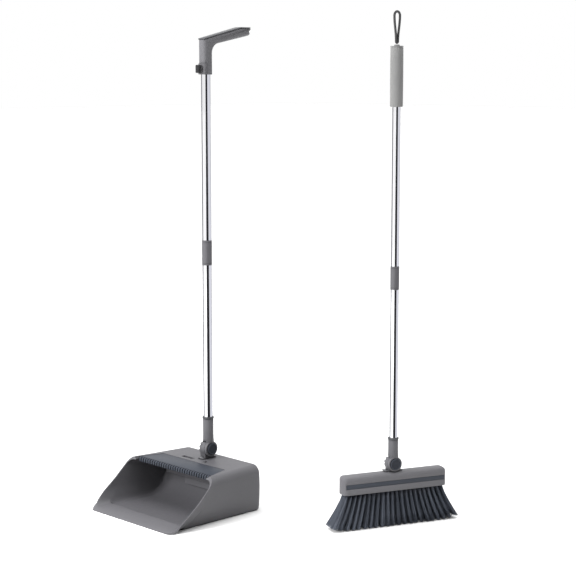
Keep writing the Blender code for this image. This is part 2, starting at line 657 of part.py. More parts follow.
# ---- Stick ------------------------------------------------------------------------------
def make_sleeve(name, place, ear, button, sleeve, tube, top):
    """A round ear that turns on the pin, and the sleeve that grows out of it. Heights are from the axis."""
    axis = place @ ALONG_X
    fork = put(name, turned(rod_profile(ear, EAR_LOW, EAR_HIGH), ROUND), axis, "grey_plastic")
    crotch = ear + CROTCH
    neck = sleeve + SHOULDER_FLARE
    barrel = [(0, 0), (neck, 0), (neck, ear), (sleeve + SHOULDER_FLARE / 3, ear + SHOULDER_RISE / 2),
              (sleeve, ear + SHOULDER_RISE), (sleeve, top - RING_HIGH - GAP), (0, top - RING_HIGH - GAP)]
    combine(fork, put(f"tool_{name}_barrel", turned(barrel), place), "UNION")
    past = 2 * ear
    beside = block((-past, -past, -past), (EAR_LOW, past, crotch))
    combine(fork, put(f"tool_{name}_crotch", beside, place), "DIFFERENCE")
    outside = block((EAR_HIGH, -past, -past), (past, past, ear * EAR_FACE_SHARE))
    combine(fork, put(f"tool_{name}_face", outside, place), "DIFFERENCE")
    bore = turned(rod_profile(tube + GAP, SLEEVE_FLOOR - GAP, top + 0.01), ROUND)
    combine(fork, put(f"tool_{name}_bore", bore, place), "DIFFERENCE")
    pocket = turned(rod_profile(button, EAR_HIGH - BUTTON_POCKET, EAR_HIGH + 0.01), ROUND)
    combine(fork, put(f"tool_{name}_pocket", pocket, axis), "DIFFERENCE")
    through = turned(rod_profile(PLUNGER + RUNNING, 0, EAR_HIGH), SMALL_ROUND)
    combine(fork, put(f"tool_{name}_through", through, axis), "DIFFERENCE")


def make_stick(prefix, foot, hinge_z, ear, button, sleeve, tube, sleeve_top, band, tube_top):
    """Everything from the ear up to the top of the upper tube."""
    place = foot @ on_z(0, 0, hinge_z)
    make_sleeve(f"{prefix}_socket", place, ear, button, sleeve, tube, sleeve_top - hinge_z)
    low, high = sleeve_top - RING_HIGH, sleeve_top
    ring = [(tube + GAP, low), (sleeve + 0.0002, low), (sleeve + RING_PROUD, low + 0.0012),
            (sleeve + RING_PROUD, high - 0.0006), (sleeve + RING_PROUD - 0.0006, high), (tube + GAP, high)]
    put(f"{prefix}_socket_ring", turned(ring), foot, "dark_plastic")
    bottom = hinge_z + SLEEVE_FLOOR
    lower = turned(tube_profile(tube, tube - TUBE_WALL, bottom, band[0]))
    put(f"{prefix}_lower_tube", lower, foot, "chrome")
    inside = tube - TUBE_WALL - GAP
    outside = tube + BAND_PROUD
    low, high = band[0] + GAP, band[1] - GAP
    core = inside - 0.002
    profile = [(core, low - SPIGOT), (inside, low - SPIGOT), (inside, low), (outside - 0.0004, low),
               (outside, low + 0.0006), (outside, high - 0.0006), (outside - 0.0004, high),
               (inside, high), (inside, high + SPIGOT), (core, high + SPIGOT)]
    put(f"{prefix}_tube_coupling", turned(profile), foot, "grey_plastic")
    upper = turned(tube_profile(tube, tube - TUBE_WALL, band[1], tube_top))
    put(f"{prefix}_upper_tube", upper, foot, "chrome")


# ---- Pan's hand grip --------------------------------------------------------------------
def grip_top_z(y):
    """The line that the grip's top follows, under its soft strip."""
    return GRIP_CORNER_Z + (min(y, GRIP_FLAT_Y) + GRIP_HALF_Y) * math.tan(GRIP_TOP_RISE)


def grip_under_z(y):
    return GRIP_UNDER_Z + y * math.tan(GRIP_UNDER_RISE)


def make_hand_grip():
    slope = GRIP_UNDER_RISE
    # The inside bend is an arc that touches the rear of the upright and the grip's underside.
    centre_y = GRIP_HALF_Y + GRIP_BEND
    centre_z = grip_under_z(centre_y) - GRIP_BEND / math.cos(slope)
    bend = arc((centre_y, centre_z), GRIP_BEND, 180, 90 + math.degrees(slope), 6)
    # The rounded bar is made too long at its three ends, then cut flat there.
    spare = 2 * GRIP_EDGE
    far_y = GRIP_TIP_Y + spare
    outline = [(-GRIP_HALF_Y, GRIP_BOTTOM - spare), (GRIP_HALF_Y, GRIP_BOTTOM - spare)] + bend
    outline += [(far_y, grip_under_z(far_y)), (far_y, grip_top_z(GRIP_TIP_Y) + spare),
                (-GRIP_HALF_Y, GRIP_CORNER_Z + spare)]
    grip = put("pan_hand_grip", plate(outline, -GRIP_HALF_X, GRIP_HALF_X), PAN, "grey_plastic")
    bevel(grip, GRIP_EDGE, 3)
    past = 0.05
    below = block((-past, -past, GRIP_BOTTOM - past), (past, past, GRIP_BOTTOM))
    combine(grip, put("tool_grip_foot", below, PAN), "DIFFERENCE")
    line = [(y, grip_top_z(y)) for y in (-past, GRIP_FLAT_Y, GRIP_TIP_Y + past)]
    above = line + [(GRIP_TIP_Y + past, GRIP_CORNER_Z + 2 * past), (-past, GRIP_CORNER_Z + 2 * past)]
    combine(grip, put("tool_grip_top", plate(above, -past, past), PAN), "DIFFERENCE")
    tip_top = grip_top_z(GRIP_TIP_Y)
    low_y = GRIP_TIP_Y - 0.0030
    low_z = grip_under_z(low_y)
    height = tip_top - low_z
    notch_z = low_z + 0.58 * height
    end = [(GRIP_TIP_Y, tip_top + past), (GRIP_TIP_Y, tip_top - 0.05 * height),
           (GRIP_TIP_Y - NOTCH, notch_z), (low_y, notch_z - 0.24 * height),
           (low_y, low_z + 0.15 * height), (low_y - 0.003, low_z - 0.001),
           (low_y - 0.003, low_z - past), (GRIP_TIP_Y + past, low_z - past),
           (GRIP_TIP_Y + past, tip_top + past)]
    combine(grip, put("tool_grip_end", plate(end, -past, past), PAN), "DIFFERENCE")
    bore = turned(rod_profile(PAN_TUBE + GAP, GRIP_BOTTOM - 0.01, PAN_TUBE_TOP + GAP), ROUND)
    combine(grip, put("tool_grip_bore", bore, PAN), "DIFFERENCE")


def make_grip_strip():
    """The soft strip along the top of the grip."""
    lift = GAP
    line = [(-GRIP_HALF_Y, lift), (GRIP_FLAT_Y, lift), (GRIP_TIP_Y, lift)]
    low = [(y, grip_top_z(y) + z) for y, z in line]
    high = [(y, grip_top_z(y) + z + STRIP_THICK) for y, z in reversed(line)]
    strip = put("pan_grip_strip", plate(low + high, -STRIP_HALF, STRIP_HALF), PAN, "dark_plastic")
    bevel(strip, 0.0012, 2)


def make_clip():
    """A saddle over the front of the grip's foot, and the pad that the broom's stick leans on."""
    low, high = GRIP_BOTTOM + GAP, GRIP_BOTTOM + COLLAR_HIGH
    inner_x, inner_y = GRIP_HALF_X + GAP, GRIP_HALF_Y + GAP
    outer_x, outer_y = inner_x + COLLAR_WALL, inner_y + COLLAR_WALL
    spare = 2 * (GRIP_EDGE + COLLAR_WALL)
    shape = block((-outer_x, -outer_y, low - spare), (outer_x, outer_y, high + spare))
    collar = put("pan_clip_collar", shape, PAN, "grey_plastic")
    bevel(collar, GRIP_EDGE + COLLAR_WALL, 3)
    past = 2 * spare
    for label, near, far in (("below", low - past, low), ("above", high, high + past)):
        end = put(f"tool_collar_{label}", block((-past, -past, near), (past, past, far)), PAN)
        combine(collar, end, "DIFFERENCE")
    shape = block((-inner_x, -inner_y, low - past), (inner_x, inner_y, high + past))
    inner = put("tool_collar", shape, PAN)
    bevel(inner, GRIP_EDGE - GAP, 3)
    combine(collar, inner, "DIFFERENCE")
    behind = block((-past, COLLAR_WRAP - inner_y, low - past), (past, past, high + past))
    combine(collar, put("tool_collar_behind", behind, PAN), "DIFFERENCE")
    middle = (low + high) / 2
    neck = block((-NECK_HALF_X, -outer_y - NECK_REACH, middle - NECK_HALF_Z),
                 (NECK_HALF_X, -outer_y + 0.0009, middle + NECK_HALF_Z))
    combine(collar, put("tool_neck", neck, PAN), "UNION")
    pad_back = -outer_y - NECK_REACH - GAP
    pad = block((-PAD_HALF, pad_back - PAD_STANDS, middle - PAD_HIGH / 2),
                (PAD_HALF, pad_back, middle + PAD_HIGH / 2))
    bevel(put("pan_clip_pad", pad, PAN, "rubber"), 0.0018, 2)


# ---- Broom head -------------------------------------------------------------------------
def make_block():
    half_thick = BLOCK_THICK / 2
    spare = 2 * BLOCK_EDGE
    outer = put("broom_block", block((-half_thick, -BLOCK_HALF, BLOCK_BOTTOM - spare),
                                     (half_thick, BLOCK_HALF, BLOCK_TOP)), BROOM, "grey_plastic")
    bevel(outer, BLOCK_EDGE, 3)
    below = block((-2 * half_thick, -2 * BLOCK_HALF, BLOCK_BOTTOM - 2 * spare),
                  (2 * half_thick, 2 * BLOCK_HALF, BLOCK_BOTTOM))
    combine(outer, put("tool_block_base", below, BROOM), "DIFFERENCE")
    pocket = block((-half_thick + BLOCK_WALL, -BLOCK_HALF + BLOCK_WALL, BLOCK_BOTTOM - 0.02),
                   (half_thick - BLOCK_WALL, BLOCK_HALF - BLOCK_WALL, BLOCK_TOP - 0.012))
    combine(outer, put("tool_block_pocket", pocket, BROOM), "DIFFERENCE")
    for side, label in ((1, "front"), (-1, "rear")):
        groove = block((half_thick - STRIPE_DEEP, -BLOCK_HALF - 0.01, STRIPE_LOW),
                       (half_thick + 0.01, BLOCK_HALF + 0.01, STRIPE_HIGH))
        turn = BROOM if side == 1 else BROOM @ Matrix.Rotation(math.pi, 4, "Z")
        combine(outer, put(f"tool_groove_{label}", groove, turn), "DIFFERENCE")
        reach = BLOCK_HALF - BLOCK_EDGE * 0.6
        stripe = block((half_thick - STRIPE_DEEP + GAP, -reach, STRIPE_LOW + GAP),
                       (half_thick + 0.0001, reach, STRIPE_HIGH - GAP))
        put(f"broom_{label}_stripe", stripe, turn, "slate_plastic")
    for index, (x, y) in enumerate(bracket_screw_places()):
        drill = turned(rod_profile(0.0016, BLOCK_TOP - 0.009, BLOCK_TOP + 0.01), SMALL_ROUND)
        combine(outer, put(f"tool_block_drill_{index}", drill, BROOM @ on_z(x, y, 0)), "DIFFERENCE")


def make_bristle_plate():
    """The plate that holds the tufts, snapped into the block from below."""
    x = BLOCK_THICK / 2 - BLOCK_WALL - GAP
    y = BLOCK_HALF - BLOCK_WALL - GAP
    low = BLOCK_BOTTOM + PLATE_INSET
    put("broom_bristle_plate", block((-x, -y, low), (x, y, low + PLATE_THICK)), BROOM, "slate_plastic")


def make_bristles():
    """The bristle field as one flared solid, its ends lifted a little."""
    shape = bmesh.new()
    top = BLOCK_BOTTOM + PLATE_INSET - GAP
    rings = []
    for share in (0, 0.5, 1):
        half_y = BRISTLE_ROOT_HALF + (BRISTLE_TIP_HALF - BRISTLE_ROOT_HALF) * share ** 1.3
        half_x = (BRISTLE_ROOT_THICK + (BRISTLE_TIP_THICK - BRISTLE_ROOT_THICK) * share ** 1.2) / 2
        ring = []
        for along in (-1, -0.8, -0.4, 0, 0.4, 0.8, 1):
            lift = BRISTLE_END_LIFT * max(0, (abs(along) - 0.8) / 0.2) * share
            ring.append((half_x, half_y * along, top * (1 - share) + lift))
        rings.append([shape.verts.new(p) for p in ring]
                     + [shape.verts.new((-x, y, z)) for x, y, z in reversed(ring)])
    for one, other in zip(rings, rings[1:]):
        join_rings(shape, one, other)
    for ring in (rings[0], rings[-1]):
        half = len(ring) // 2
        for index in range(half - 1):
            shape.faces.new((ring[index], ring[index + 1], ring[-2 - index], ring[-1 - index]))
    put("broom_bristles", shape, BROOM, "bristle")


def make_broom_top():
    """Foam grip, end cap and hanging loop."""
    inner = BROOM_TUBE + GAP
    foam = [(inner, FOAM_BOTTOM), (FOAM_RADIUS - 0.0008, FOAM_BOTTOM), (FOAM_RADIUS, FOAM_BOTTOM + 0.0008),
            (FOAM_RADIUS, FOAM_TOP - CAP_THICK - GAP), (inner, FOAM_TOP - CAP_THICK - GAP)]
    put("broom_foam_grip", turned(foam), BROOM, "foam")
    cap_low = FOAM_TOP - CAP_THICK
    plug = BROOM_TUBE - TUBE_WALL - GAP
    cap = [(0, BROOM_TUBE_TOP - 0.008), (plug, BROOM_TUBE_TOP - 0.008), (plug, cap_low),
           (FOAM_RADIUS, cap_low), (FOAM_RADIUS, FOAM_TOP - 0.0006), (FOAM_RADIUS - 0.0006, FOAM_TOP),
           (CAP_BOSS, FOAM_TOP), (CAP_BOSS - 0.0008, FOAM_TOP + CAP_BOSS_HIGH), (0, FOAM_TOP + CAP_BOSS_HIGH)]
    put("broom_end_cap", turned(cap), BROOM, "grey_plastic")
    make_loop()


def loop_points():
    """Half the loop's middle line (y, z): up from the foot, widening, then over the top."""
    foot = FOAM_TOP + CAP_BOSS_HIGH + GAP + LOOP_STRAND
    crown = LOOP_TOP - LOOP_STRAND - LOOP_HALF
    rise = 7
    side = []
    for index in range(rise + 1):
        share = index / rise
        eased = 0.5 - 0.5 * math.cos(math.pi * share)
        side.append((LOOP_FOOT_HALF + (LOOP_HALF - LOOP_FOOT_HALF) * eased, foot + (crown - foot) * share))
    over = arc((0, crown), LOOP_HALF, 0, 90, 4)[1:]
    return side + over


def make_loop():
    """A moulded strap loop: one closed ring, flattened at its foot where it sits on the cap."""
    half = loop_points()
    line = half + [(-y, z) for y, z in reversed(half[:-1])]
    curve = bpy.data.curves.new("broom_hanging_loop", "CURVE")
    curve.dimensions = "3D"
    curve.bevel_depth = LOOP_STRAND
    curve.bevel_resolution = 2
    strand = curve.splines.new("POLY")
    strand.points.add(len(line) - 1)
    strand.use_cyclic_u = True
    for point, (y, z) in zip(strand.points, line):
        point.co = (0, y, z, 1)
    curve.materials.append(material_for("broom_hanging_loop", "dark_plastic"))
    piece = bpy.data.objects.new("broom_hanging_loop", curve)
    bpy.context.scene.collection.objects.link(piece)
    piece.matrix_world = Matrix.Translation((*BROOM_AT, 0))


def build():
    make_pan_body()
    make_pan_cover()
    make_comb()
    make_baffle()
    pan_hinge = on_z(0, 0, PAN_HINGE_Z)
    pan_drop = PAN_HINGE_Z - PAN_TOP - GAP
    make_bracket("pan_hinge_bracket", pan_hinge, PAN_EAR, pan_drop)
    make_bracket_screws("pan", pan_hinge, pan_drop)
    make_lock("pan", pan_hinge)
    make_stick("pan", PAN, PAN_HINGE_Z, PAN_EAR, PAN_BUTTON, PAN_SLEEVE, PAN_TUBE,
               PAN_SLEEVE_TOP, PAN_BAND, PAN_TUBE_TOP)
    make_button("pan_release_button", pan_hinge, PAN_BUTTON)
    make_hand_grip()
    make_grip_strip()
    make_clip()

    make_block()
    make_bristle_plate()
    make_bristles()
    broom_hinge = BROOM @ on_z(0, 0, BROOM_HINGE_Z)
    broom_drop = BROOM_HINGE_Z - BLOCK_TOP - GAP
    make_bracket("broom_hinge_bracket", broom_hinge, BROOM_EAR, broom_drop)
    make_bracket_screws("broom", broom_hinge, broom_drop)
    make_lock("broom", broom_hinge)
    make_stick("broom", BROOM, BROOM_HINGE_Z, BROOM_EAR, BROOM_BUTTON, BROOM_SLEEVE, BROOM_TUBE,
               BROOM_SLEEVE_TOP, BROOM_BAND, BROOM_TUBE_TOP)
    make_button("broom_release_button", broom_hinge, BROOM_BUTTON)
    make_broom_top()


build()
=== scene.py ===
# %% [markdown]
# # A dust pan and its broom
# The set has two tools. The pan stands on its base with a tall handle, and the broom stands
# beside it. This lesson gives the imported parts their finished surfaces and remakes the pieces
# that a plain solid can't show, such as the tufts of the broom.

# %% Load the frame
import json
import math
import random

import bmesh
import bpy
from mathutils import Matrix, Vector


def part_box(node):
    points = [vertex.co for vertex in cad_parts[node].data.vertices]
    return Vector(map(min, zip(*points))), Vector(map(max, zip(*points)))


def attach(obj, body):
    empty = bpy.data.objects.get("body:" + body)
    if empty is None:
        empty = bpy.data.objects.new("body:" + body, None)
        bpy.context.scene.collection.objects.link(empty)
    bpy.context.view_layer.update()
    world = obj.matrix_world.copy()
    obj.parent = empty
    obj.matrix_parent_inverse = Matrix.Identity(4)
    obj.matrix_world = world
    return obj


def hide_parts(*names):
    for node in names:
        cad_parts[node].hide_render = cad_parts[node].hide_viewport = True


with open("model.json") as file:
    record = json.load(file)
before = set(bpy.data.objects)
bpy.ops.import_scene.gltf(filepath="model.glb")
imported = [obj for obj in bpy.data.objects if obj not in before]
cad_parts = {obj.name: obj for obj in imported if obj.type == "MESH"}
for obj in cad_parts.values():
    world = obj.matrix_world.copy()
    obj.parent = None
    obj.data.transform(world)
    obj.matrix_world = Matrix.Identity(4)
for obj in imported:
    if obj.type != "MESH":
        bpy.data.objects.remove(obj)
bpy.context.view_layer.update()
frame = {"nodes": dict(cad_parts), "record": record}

nodes = frame["nodes"]
record = frame["record"]
body_of_node = {node: body for body, names in record["behaviour"]["bodies"].items()
                for node in names}
slot_of_node = {entry["node"]: entry["material_slot"] for entry in record["subparts"]}
fold = {joint["name"]: joint for joint in record["behaviour"]["joints"]}

# %% [markdown]
# ## The camera
# A long lens from a little above keeps the tall tubes nearly upright. It looks from the corner
# between the pan's mouth and its right side, so both the dust space and the side can be seen.

# %% Place the camera
CAMERA_AT = (2.3395, -2.0403, 0.872)
LOOK_DOWN = math.radians(7.86)
LOOK_ROUND = math.radians(45.9)
FOCAL_LENGTH = 97.0

lens = bpy.data.cameras.new("studio_camera")
lens.lens = FOCAL_LENGTH
lens.sensor_width = 36.0
camera = bpy.data.objects.new("studio_camera", lens)
camera.location = CAMERA_AT
camera.rotation_euler = (math.radians(90) - LOOK_DOWN, 0, LOOK_ROUND)
bpy.context.scene.collection.objects.link(camera)
bpy.context.scene.camera = camera
bpy.context.scene.view_settings.view_transform = "Standard"
print("camera at", CAMERA_AT, "with a lens of", FOCAL_LENGTH, "mm")

# %% [markdown]
# ## The studio
# A white sweep is the kindest setting for grey plastic. A real one is a sheet of paper that
# curves up behind the tools. Here one wide plane runs out of sight instead, and the room's own
# white takes over where it ends.

# %% Build the floor
def deselect_all():
    for item in bpy.context.selected_objects:
        item.select_set(False)


def new_material(name):
    """Make a material. Returns it with its nodes, its links and its Principled shader."""
    material = bpy.data.materials.new(name)
    material.use_nodes = True
    tree = material.node_tree
    return material, tree.nodes, tree.links, tree.nodes["Principled BSDF"]


FLOOR_SIZE = 60.0
FLOOR_WHITE = 0.56

deselect_all()
bpy.ops.mesh.primitive_plane_add(size=FLOOR_SIZE)
floor = bpy.context.active_object
floor.name = "studio_floor"
floor_finish, _, _, floor_shader = new_material("white_sweep")
floor_shader.inputs["Base Color"].default_value = (FLOOR_WHITE, FLOOR_WHITE, FLOOR_WHITE, 1)
floor_shader.inputs["Roughness"].default_value = 0.9
floor_shader.inputs["Specular IOR Level"].default_value = 0.1
floor.data.materials.append(floor_finish)
print("floor:", FLOOR_SIZE, "m across")

# %% [markdown]
# ## The room's light
# The room could be a picture of a studio, but a few numbers do the same: a ceiling that grows
# brighter towards its top, even walls, and a far side that gives a little less, so that the
# tools keep a light and a dark side. The camera and the reflections see plain white instead.
# A dark band in that white gives a tube that is folded down something to reflect.

# %% Light the room
WALL_LIGHT, CEILING_LIGHT, FAR_SIDE_LESS = 0.50, 4.2, 0.42
CEILING_FALL = 3.0  # how fast the ceiling's light falls away from its top
BAND_AT, BAND_NARROW, BAND_DARK = 0.62, 6.0, 0.8


def math_node(tree, operation, first, second=None, clamp=False):
    """A Math node. Each input is a socket or a number."""
    node = tree.nodes.new("ShaderNodeMath")
    node.operation = operation
    node.use_clamp = clamp
    for socket, value in zip(node.inputs, (first, second)):
        if value is None:
            continue
        if isinstance(value, (int, float)):
            socket.default_value = value
        else:
            tree.links.new(value, socket)
    return node.outputs[0]


world = bpy.data.worlds.new("studio_room")
bpy.context.scene.world = world
world.use_nodes = True
room = world.node_tree
background = room.nodes["Background"]
coordinate = room.nodes.new("ShaderNodeTexCoord")
parts = room.nodes.new("ShaderNodeSeparateXYZ")
room.links.new(coordinate.outputs["Generated"], parts.inputs[0])
upward = math_node(room, "MAXIMUM", parts.outputs["Z"], 0.0)
ceiling = math_node(room, "MULTIPLY", math_node(room, "POWER", upward, CEILING_FALL), CEILING_LIGHT)
far_side = math_node(room, "MAXIMUM", parts.outputs["X"], 0.0)
dimmed = math_node(room, "MULTIPLY", far_side, FAR_SIDE_LESS)
light = math_node(room, "SUBTRACT", math_node(room, "ADD", ceiling, WALL_LIGHT), dimmed)
rays = room.nodes.new("ShaderNodeLightPath")
plain = math_node(room, "MAXIMUM", rays.outputs["Is Camera Ray"], rays.outputs["Is Glossy Ray"])
from_band = math_node(room, "ABSOLUTE", math_node(room, "SUBTRACT", parts.outputs["Z"], BAND_AT))
faded = math_node(room, "MULTIPLY", from_band, BAND_NARROW)
band = math_node(room, "MULTIPLY", math_node(room, "SUBTRACT", 1.0, faded, clamp=True), BAND_DARK)
shade = math_node(room, "MULTIPLY", band, rays.outputs["Is Glossy Ray"])
white = math_node(room, "SUBTRACT", 1.0, shade)
to_white = math_node(room, "MULTIPLY", plain, math_node(room, "SUBTRACT", white, light))
room.links.new(math_node(room, "ADD", light, to_white), background.inputs["Strength"])
background.inputs["Color"].default_value = (1, 1, 1, 1)
print("room lit by", len(room.nodes), "nodes")

# %% [markdown]
# ## Cards for the chrome
# Chrome has no colour of its own and only shows what stands round it. Cards far off do little,
# because an upright tube mirrors the floor below them, so each tube gets curved cards close to
# it. The reflection of the dark one is the line that runs down the tube and makes it look
# round, and the grey ones draw its edges. They are seen by reflections only, so they take no
# light from the plastic.

# %% Hang the cards
CAMERA_SIDE = math.degrees(LOOK_ROUND) - 90  # where the camera stands, in degrees round the tools
CARD_REACH = 0.06
CARD_STEPS = 10
CARD_FOOT = 0.16
CARD_TOP = {"pan": 0.885, "broom": 1.160}  # the broom's go on up, for when it is lifted
CARDS = [  # start and end in degrees off the camera's side, each at foot and top, and the colour
    ("dark", (-12, -4), (52, 36), (0.028, 0.028, 0.032)),
    ("light", (52, 36), (112, 112), (0.80, 0.81, 0.87)),
    ("right", (112, 112), (136, 136), (0.36, 0.36, 0.40)),
    ("back", (163, 163), (200, 200), (0.06, 0.06, 0.07)),
    ("left", (-128, -128), (-84, -90), (0.18, 0.18, 0.20)),
]


def card(name, centre, heights, starts, ends, colour):
    """A curved card that glows evenly and that only reflections see."""
    points = []
    for height, start, end in zip(heights, starts, ends):
        for step in range(CARD_STEPS + 1):
            angle = math.radians(CAMERA_SIDE + start + (end - start) * step / CARD_STEPS)
            points.append((centre[0] + CARD_REACH * math.cos(angle),
                           centre[1] + CARD_REACH * math.sin(angle), height))
    upper = CARD_STEPS + 1  # where the row of upper points begins
    faces = [(i, i + 1, upper + i + 1, upper + i) for i in range(CARD_STEPS)]
    mesh = bpy.data.meshes.new(name)
    mesh.from_pydata(points, [], faces)
    piece = bpy.data.objects.new(name, mesh)
    bpy.context.scene.collection.objects.link(piece)
    finish, _, _, shader = new_material(f"{name}_paint")
    shader.inputs["Base Color"].default_value = (0, 0, 0, 1)
    shader.inputs["Emission Color"].default_value = (*colour, 1)
    shader.inputs["Emission Strength"].default_value = 1.0
    shader.inputs["Specular IOR Level"].default_value = 0.0
    piece.data.materials.append(finish)
    for kind in ("camera", "diffuse", "shadow", "transmission", "volume_scatter"):
        setattr(piece, f"visible_{kind}", False)


for tool, card_top in CARD_TOP.items():
    centre = fold[f"{tool}_fold"]["pos_m"]
    for side_of_tube, starts, ends, colour in CARDS:
        card(f"{tool}_{side_of_tube}_card", centre, (CARD_FOOT, card_top), starts, ends, colour)
print("cards:", len(CARD_TOP) * len(CARDS))

# %% [markdown]
# ## The lamps
# One broad lamp in front, a little to the left, shows the shapes of the plastic, and a weak one
# overhead softens the shadows. Both are discs, because a large source blurs a shadow's edge.
# Reflections don't see them, as a round white spot would cross the lines on the chrome.

# %% Set the lamps
def soft_light(name, place, target, size, power):
    """A round lamp that faces its target. size is in metres and power in watts."""
    lamp = bpy.data.lights.new(name, "AREA")
    lamp.shape = "DISK"
    lamp.size = size
    lamp.energy = power
    holder = bpy.data.objects.new(name, lamp)
    holder.location = place
    holder.rotation_euler = (Vector(target) - Vector(place)).to_track_quat("-Z", "Y").to_euler()
    holder.visible_glossy = False
    bpy.context.scene.collection.objects.link(holder)
    print(name, power, "W")


soft_light("key_light", place=(-0.7, -3.3, 1.7), target=(0.15, 0.0, 0.2), size=1.4, power=190)
soft_light("top_light", place=(-0.2, 0.2, 3.4), target=(0.1, 0.0, 0.1), size=2.2, power=40)

# %% [markdown]
# ## Shared effects
# Moulded plastic is never one flat colour. Its mould leaves a fine grain, its colour drifts a
# little from place to place, and its edges polish lighter where hands and floors rub them.
# These effects serve many finishes, so each is a node group with named inputs. The grain is the
# first: a fine noise for the mould's skin, a broad one for the drift of colour, and one between
# them that says where hands have rubbed.

# %% Make the grain
def new_group(name, inputs, outputs):
    """A node group. inputs are (name, type, default) and outputs are (name, type)."""
    group = bpy.data.node_groups.new(name, "ShaderNodeTree")
    for label, kind, default in inputs:
        socket = group.interface.new_socket(label, in_out="INPUT", socket_type=kind)
        socket.default_value = default
    for label, kind in outputs:
        group.interface.new_socket(label, in_out="OUTPUT", socket_type=kind)
    entry = group.nodes.new("NodeGroupInput")
    leave = group.nodes.new("NodeGroupOutput")
    return group, entry.outputs, leave.inputs


def noise(tree, vector, scale, detail=3.0, roughness=0.5):
    node = tree.nodes.new("ShaderNodeTexNoise")
    node.inputs["Detail"].default_value = detail
    node.inputs["Roughness"].default_value = roughness
    tree.links.new(vector, node.inputs["Vector"])
    if isinstance(scale, (int, float)):
        node.inputs["Scale"].default_value = scale
    else:
        tree.links.new(scale, node.inputs["Scale"])
    return node.outputs["Fac"]


def mix_colour(tree, share, one, other, blend="MIX"):
    node = tree.nodes.new("ShaderNodeMix")
    node.data_type = "RGBA"
    node.blend_type = blend
    for label, value in (("Factor", share), (6, one), (7, other)):
        socket = node.inputs[label]
        if isinstance(value, (int, float, tuple)):
            socket.default_value = value
        else:
            tree.links.new(value, socket)
    return node.outputs[2]


FLOAT, COLOUR, VECTOR = "NodeSocketFloat", "NodeSocketColor", "NodeSocketVector"

grain_group, grain_in, grain_out = new_group(
    "moulded_grain",
    [("Vector", VECTOR, (0, 0, 0)), ("Grain Scale", FLOAT, 2600.0), ("Drift Scale", FLOAT, 14.0)],
    [("Height", FLOAT), ("Drift", FLOAT), ("Rub", FLOAT)])
fine = noise(grain_group, grain_in["Vector"], grain_in["Grain Scale"], 2.0)
drift = noise(grain_group, grain_in["Vector"], grain_in["Drift Scale"], 4.0, 0.6)
rub_scale = math_node(grain_group, "MULTIPLY", grain_in["Drift Scale"], 9.0)
rub = noise(grain_group, grain_in["Vector"], rub_scale, 5.0, 0.7)
for label, value in (("Height", fine), ("Drift", drift), ("Rub", rub)):
    grain_group.links.new(value, grain_out[label])
print(grain_group.name, "gives", [output.name for output in grain_out if output.name])

# %% [markdown]
# ## Worn edges
# An edge polishes lighter than the face beside it. Its wear could be painted on each piece, but
# the Geometry node already says how pointed the surface is, so the mask follows every edge by
# itself, and a patchy input keeps it from being even.

# %% Make the edge wear
POINTED_FROM, POINTED_GAIN = 0.505, 22.0

edge_group, edge_in, edge_out = new_group(
    "edge_wear",
    [("Colour", COLOUR, (0.2, 0.2, 0.2, 1)), ("Worn Colour", COLOUR, (0.4, 0.4, 0.4, 1)),
     ("Amount", FLOAT, 0.5), ("Patchiness", FLOAT, 0.5)],
    [("Colour", COLOUR), ("Mask", FLOAT)])
geometry = edge_group.nodes.new("ShaderNodeNewGeometry")
pointed = math_node(edge_group, "SUBTRACT", geometry.outputs["Pointiness"], POINTED_FROM)
raised = math_node(edge_group, "MULTIPLY", pointed, POINTED_GAIN, clamp=True)
worn = math_node(edge_group, "MULTIPLY", raised, edge_in["Amount"])
mask = math_node(edge_group, "MULTIPLY", worn, edge_in["Patchiness"], clamp=True)
edge_group.links.new(mask, edge_out["Mask"])
edge_group.links.new(mix_colour(edge_group, mask, edge_in["Colour"], edge_in["Worn Colour"]),
                     edge_out["Colour"])
print(edge_group.name, "starts at", POINTED_FROM)

# %% [markdown]
# ## Dark gaps
# Little light gets in where two pieces meet. Real gaps darken by themselves when light can't reach
# them, but these are narrow and the studio is bright, so an Ambient Occlusion node finds what is
# hidden within a few millimetres and paints shade into the colour there.

# %% Make the painted gap shade
CLOSED_GAIN = 1.5
# The colour of the painted shade in the gaps
GAP_SHADE = (0.004, 0.004, 0.005, 1)

gap_shade_group, gap_in, gap_out = new_group(
    "painted_gap_shade",
    [("Colour", COLOUR, (0.2, 0.2, 0.2, 1)), ("Amount", FLOAT, 0.6), ("Reach", FLOAT, 0.004)],
    [("Colour", COLOUR), ("Mask", FLOAT)])
hidden = gap_shade_group.nodes.new("ShaderNodeAmbientOcclusion")
hidden.samples = 8
gap_shade_group.links.new(gap_in["Reach"], hidden.inputs["Distance"])
unlit = math_node(gap_shade_group, "SUBTRACT", 1.0, hidden.outputs["AO"])
closed = math_node(gap_shade_group, "MULTIPLY", unlit, CLOSED_GAIN, clamp=True)
gap_shade_mask = math_node(gap_shade_group, "MULTIPLY", closed, gap_in["Amount"])
gap_shade_group.links.new(gap_shade_mask, gap_out["Mask"])
gap_shade_group.links.new(mix_colour(gap_shade_group, gap_shade_mask, gap_in["Colour"], GAP_SHADE), gap_out["Colour"])
print(gap_shade_group.name, "looks", hidden.samples, "ways")

# %% [markdown]
# ## Settled dust
# Dust lies on faces that look up, and lies there in patches. The mask is the upward part of the
# surface's normal, broken up by a speckle, so no face needs dust of its own.

# %% Make the dust
PATCH_FROM, PATCH_GAIN = 0.42, 3.0

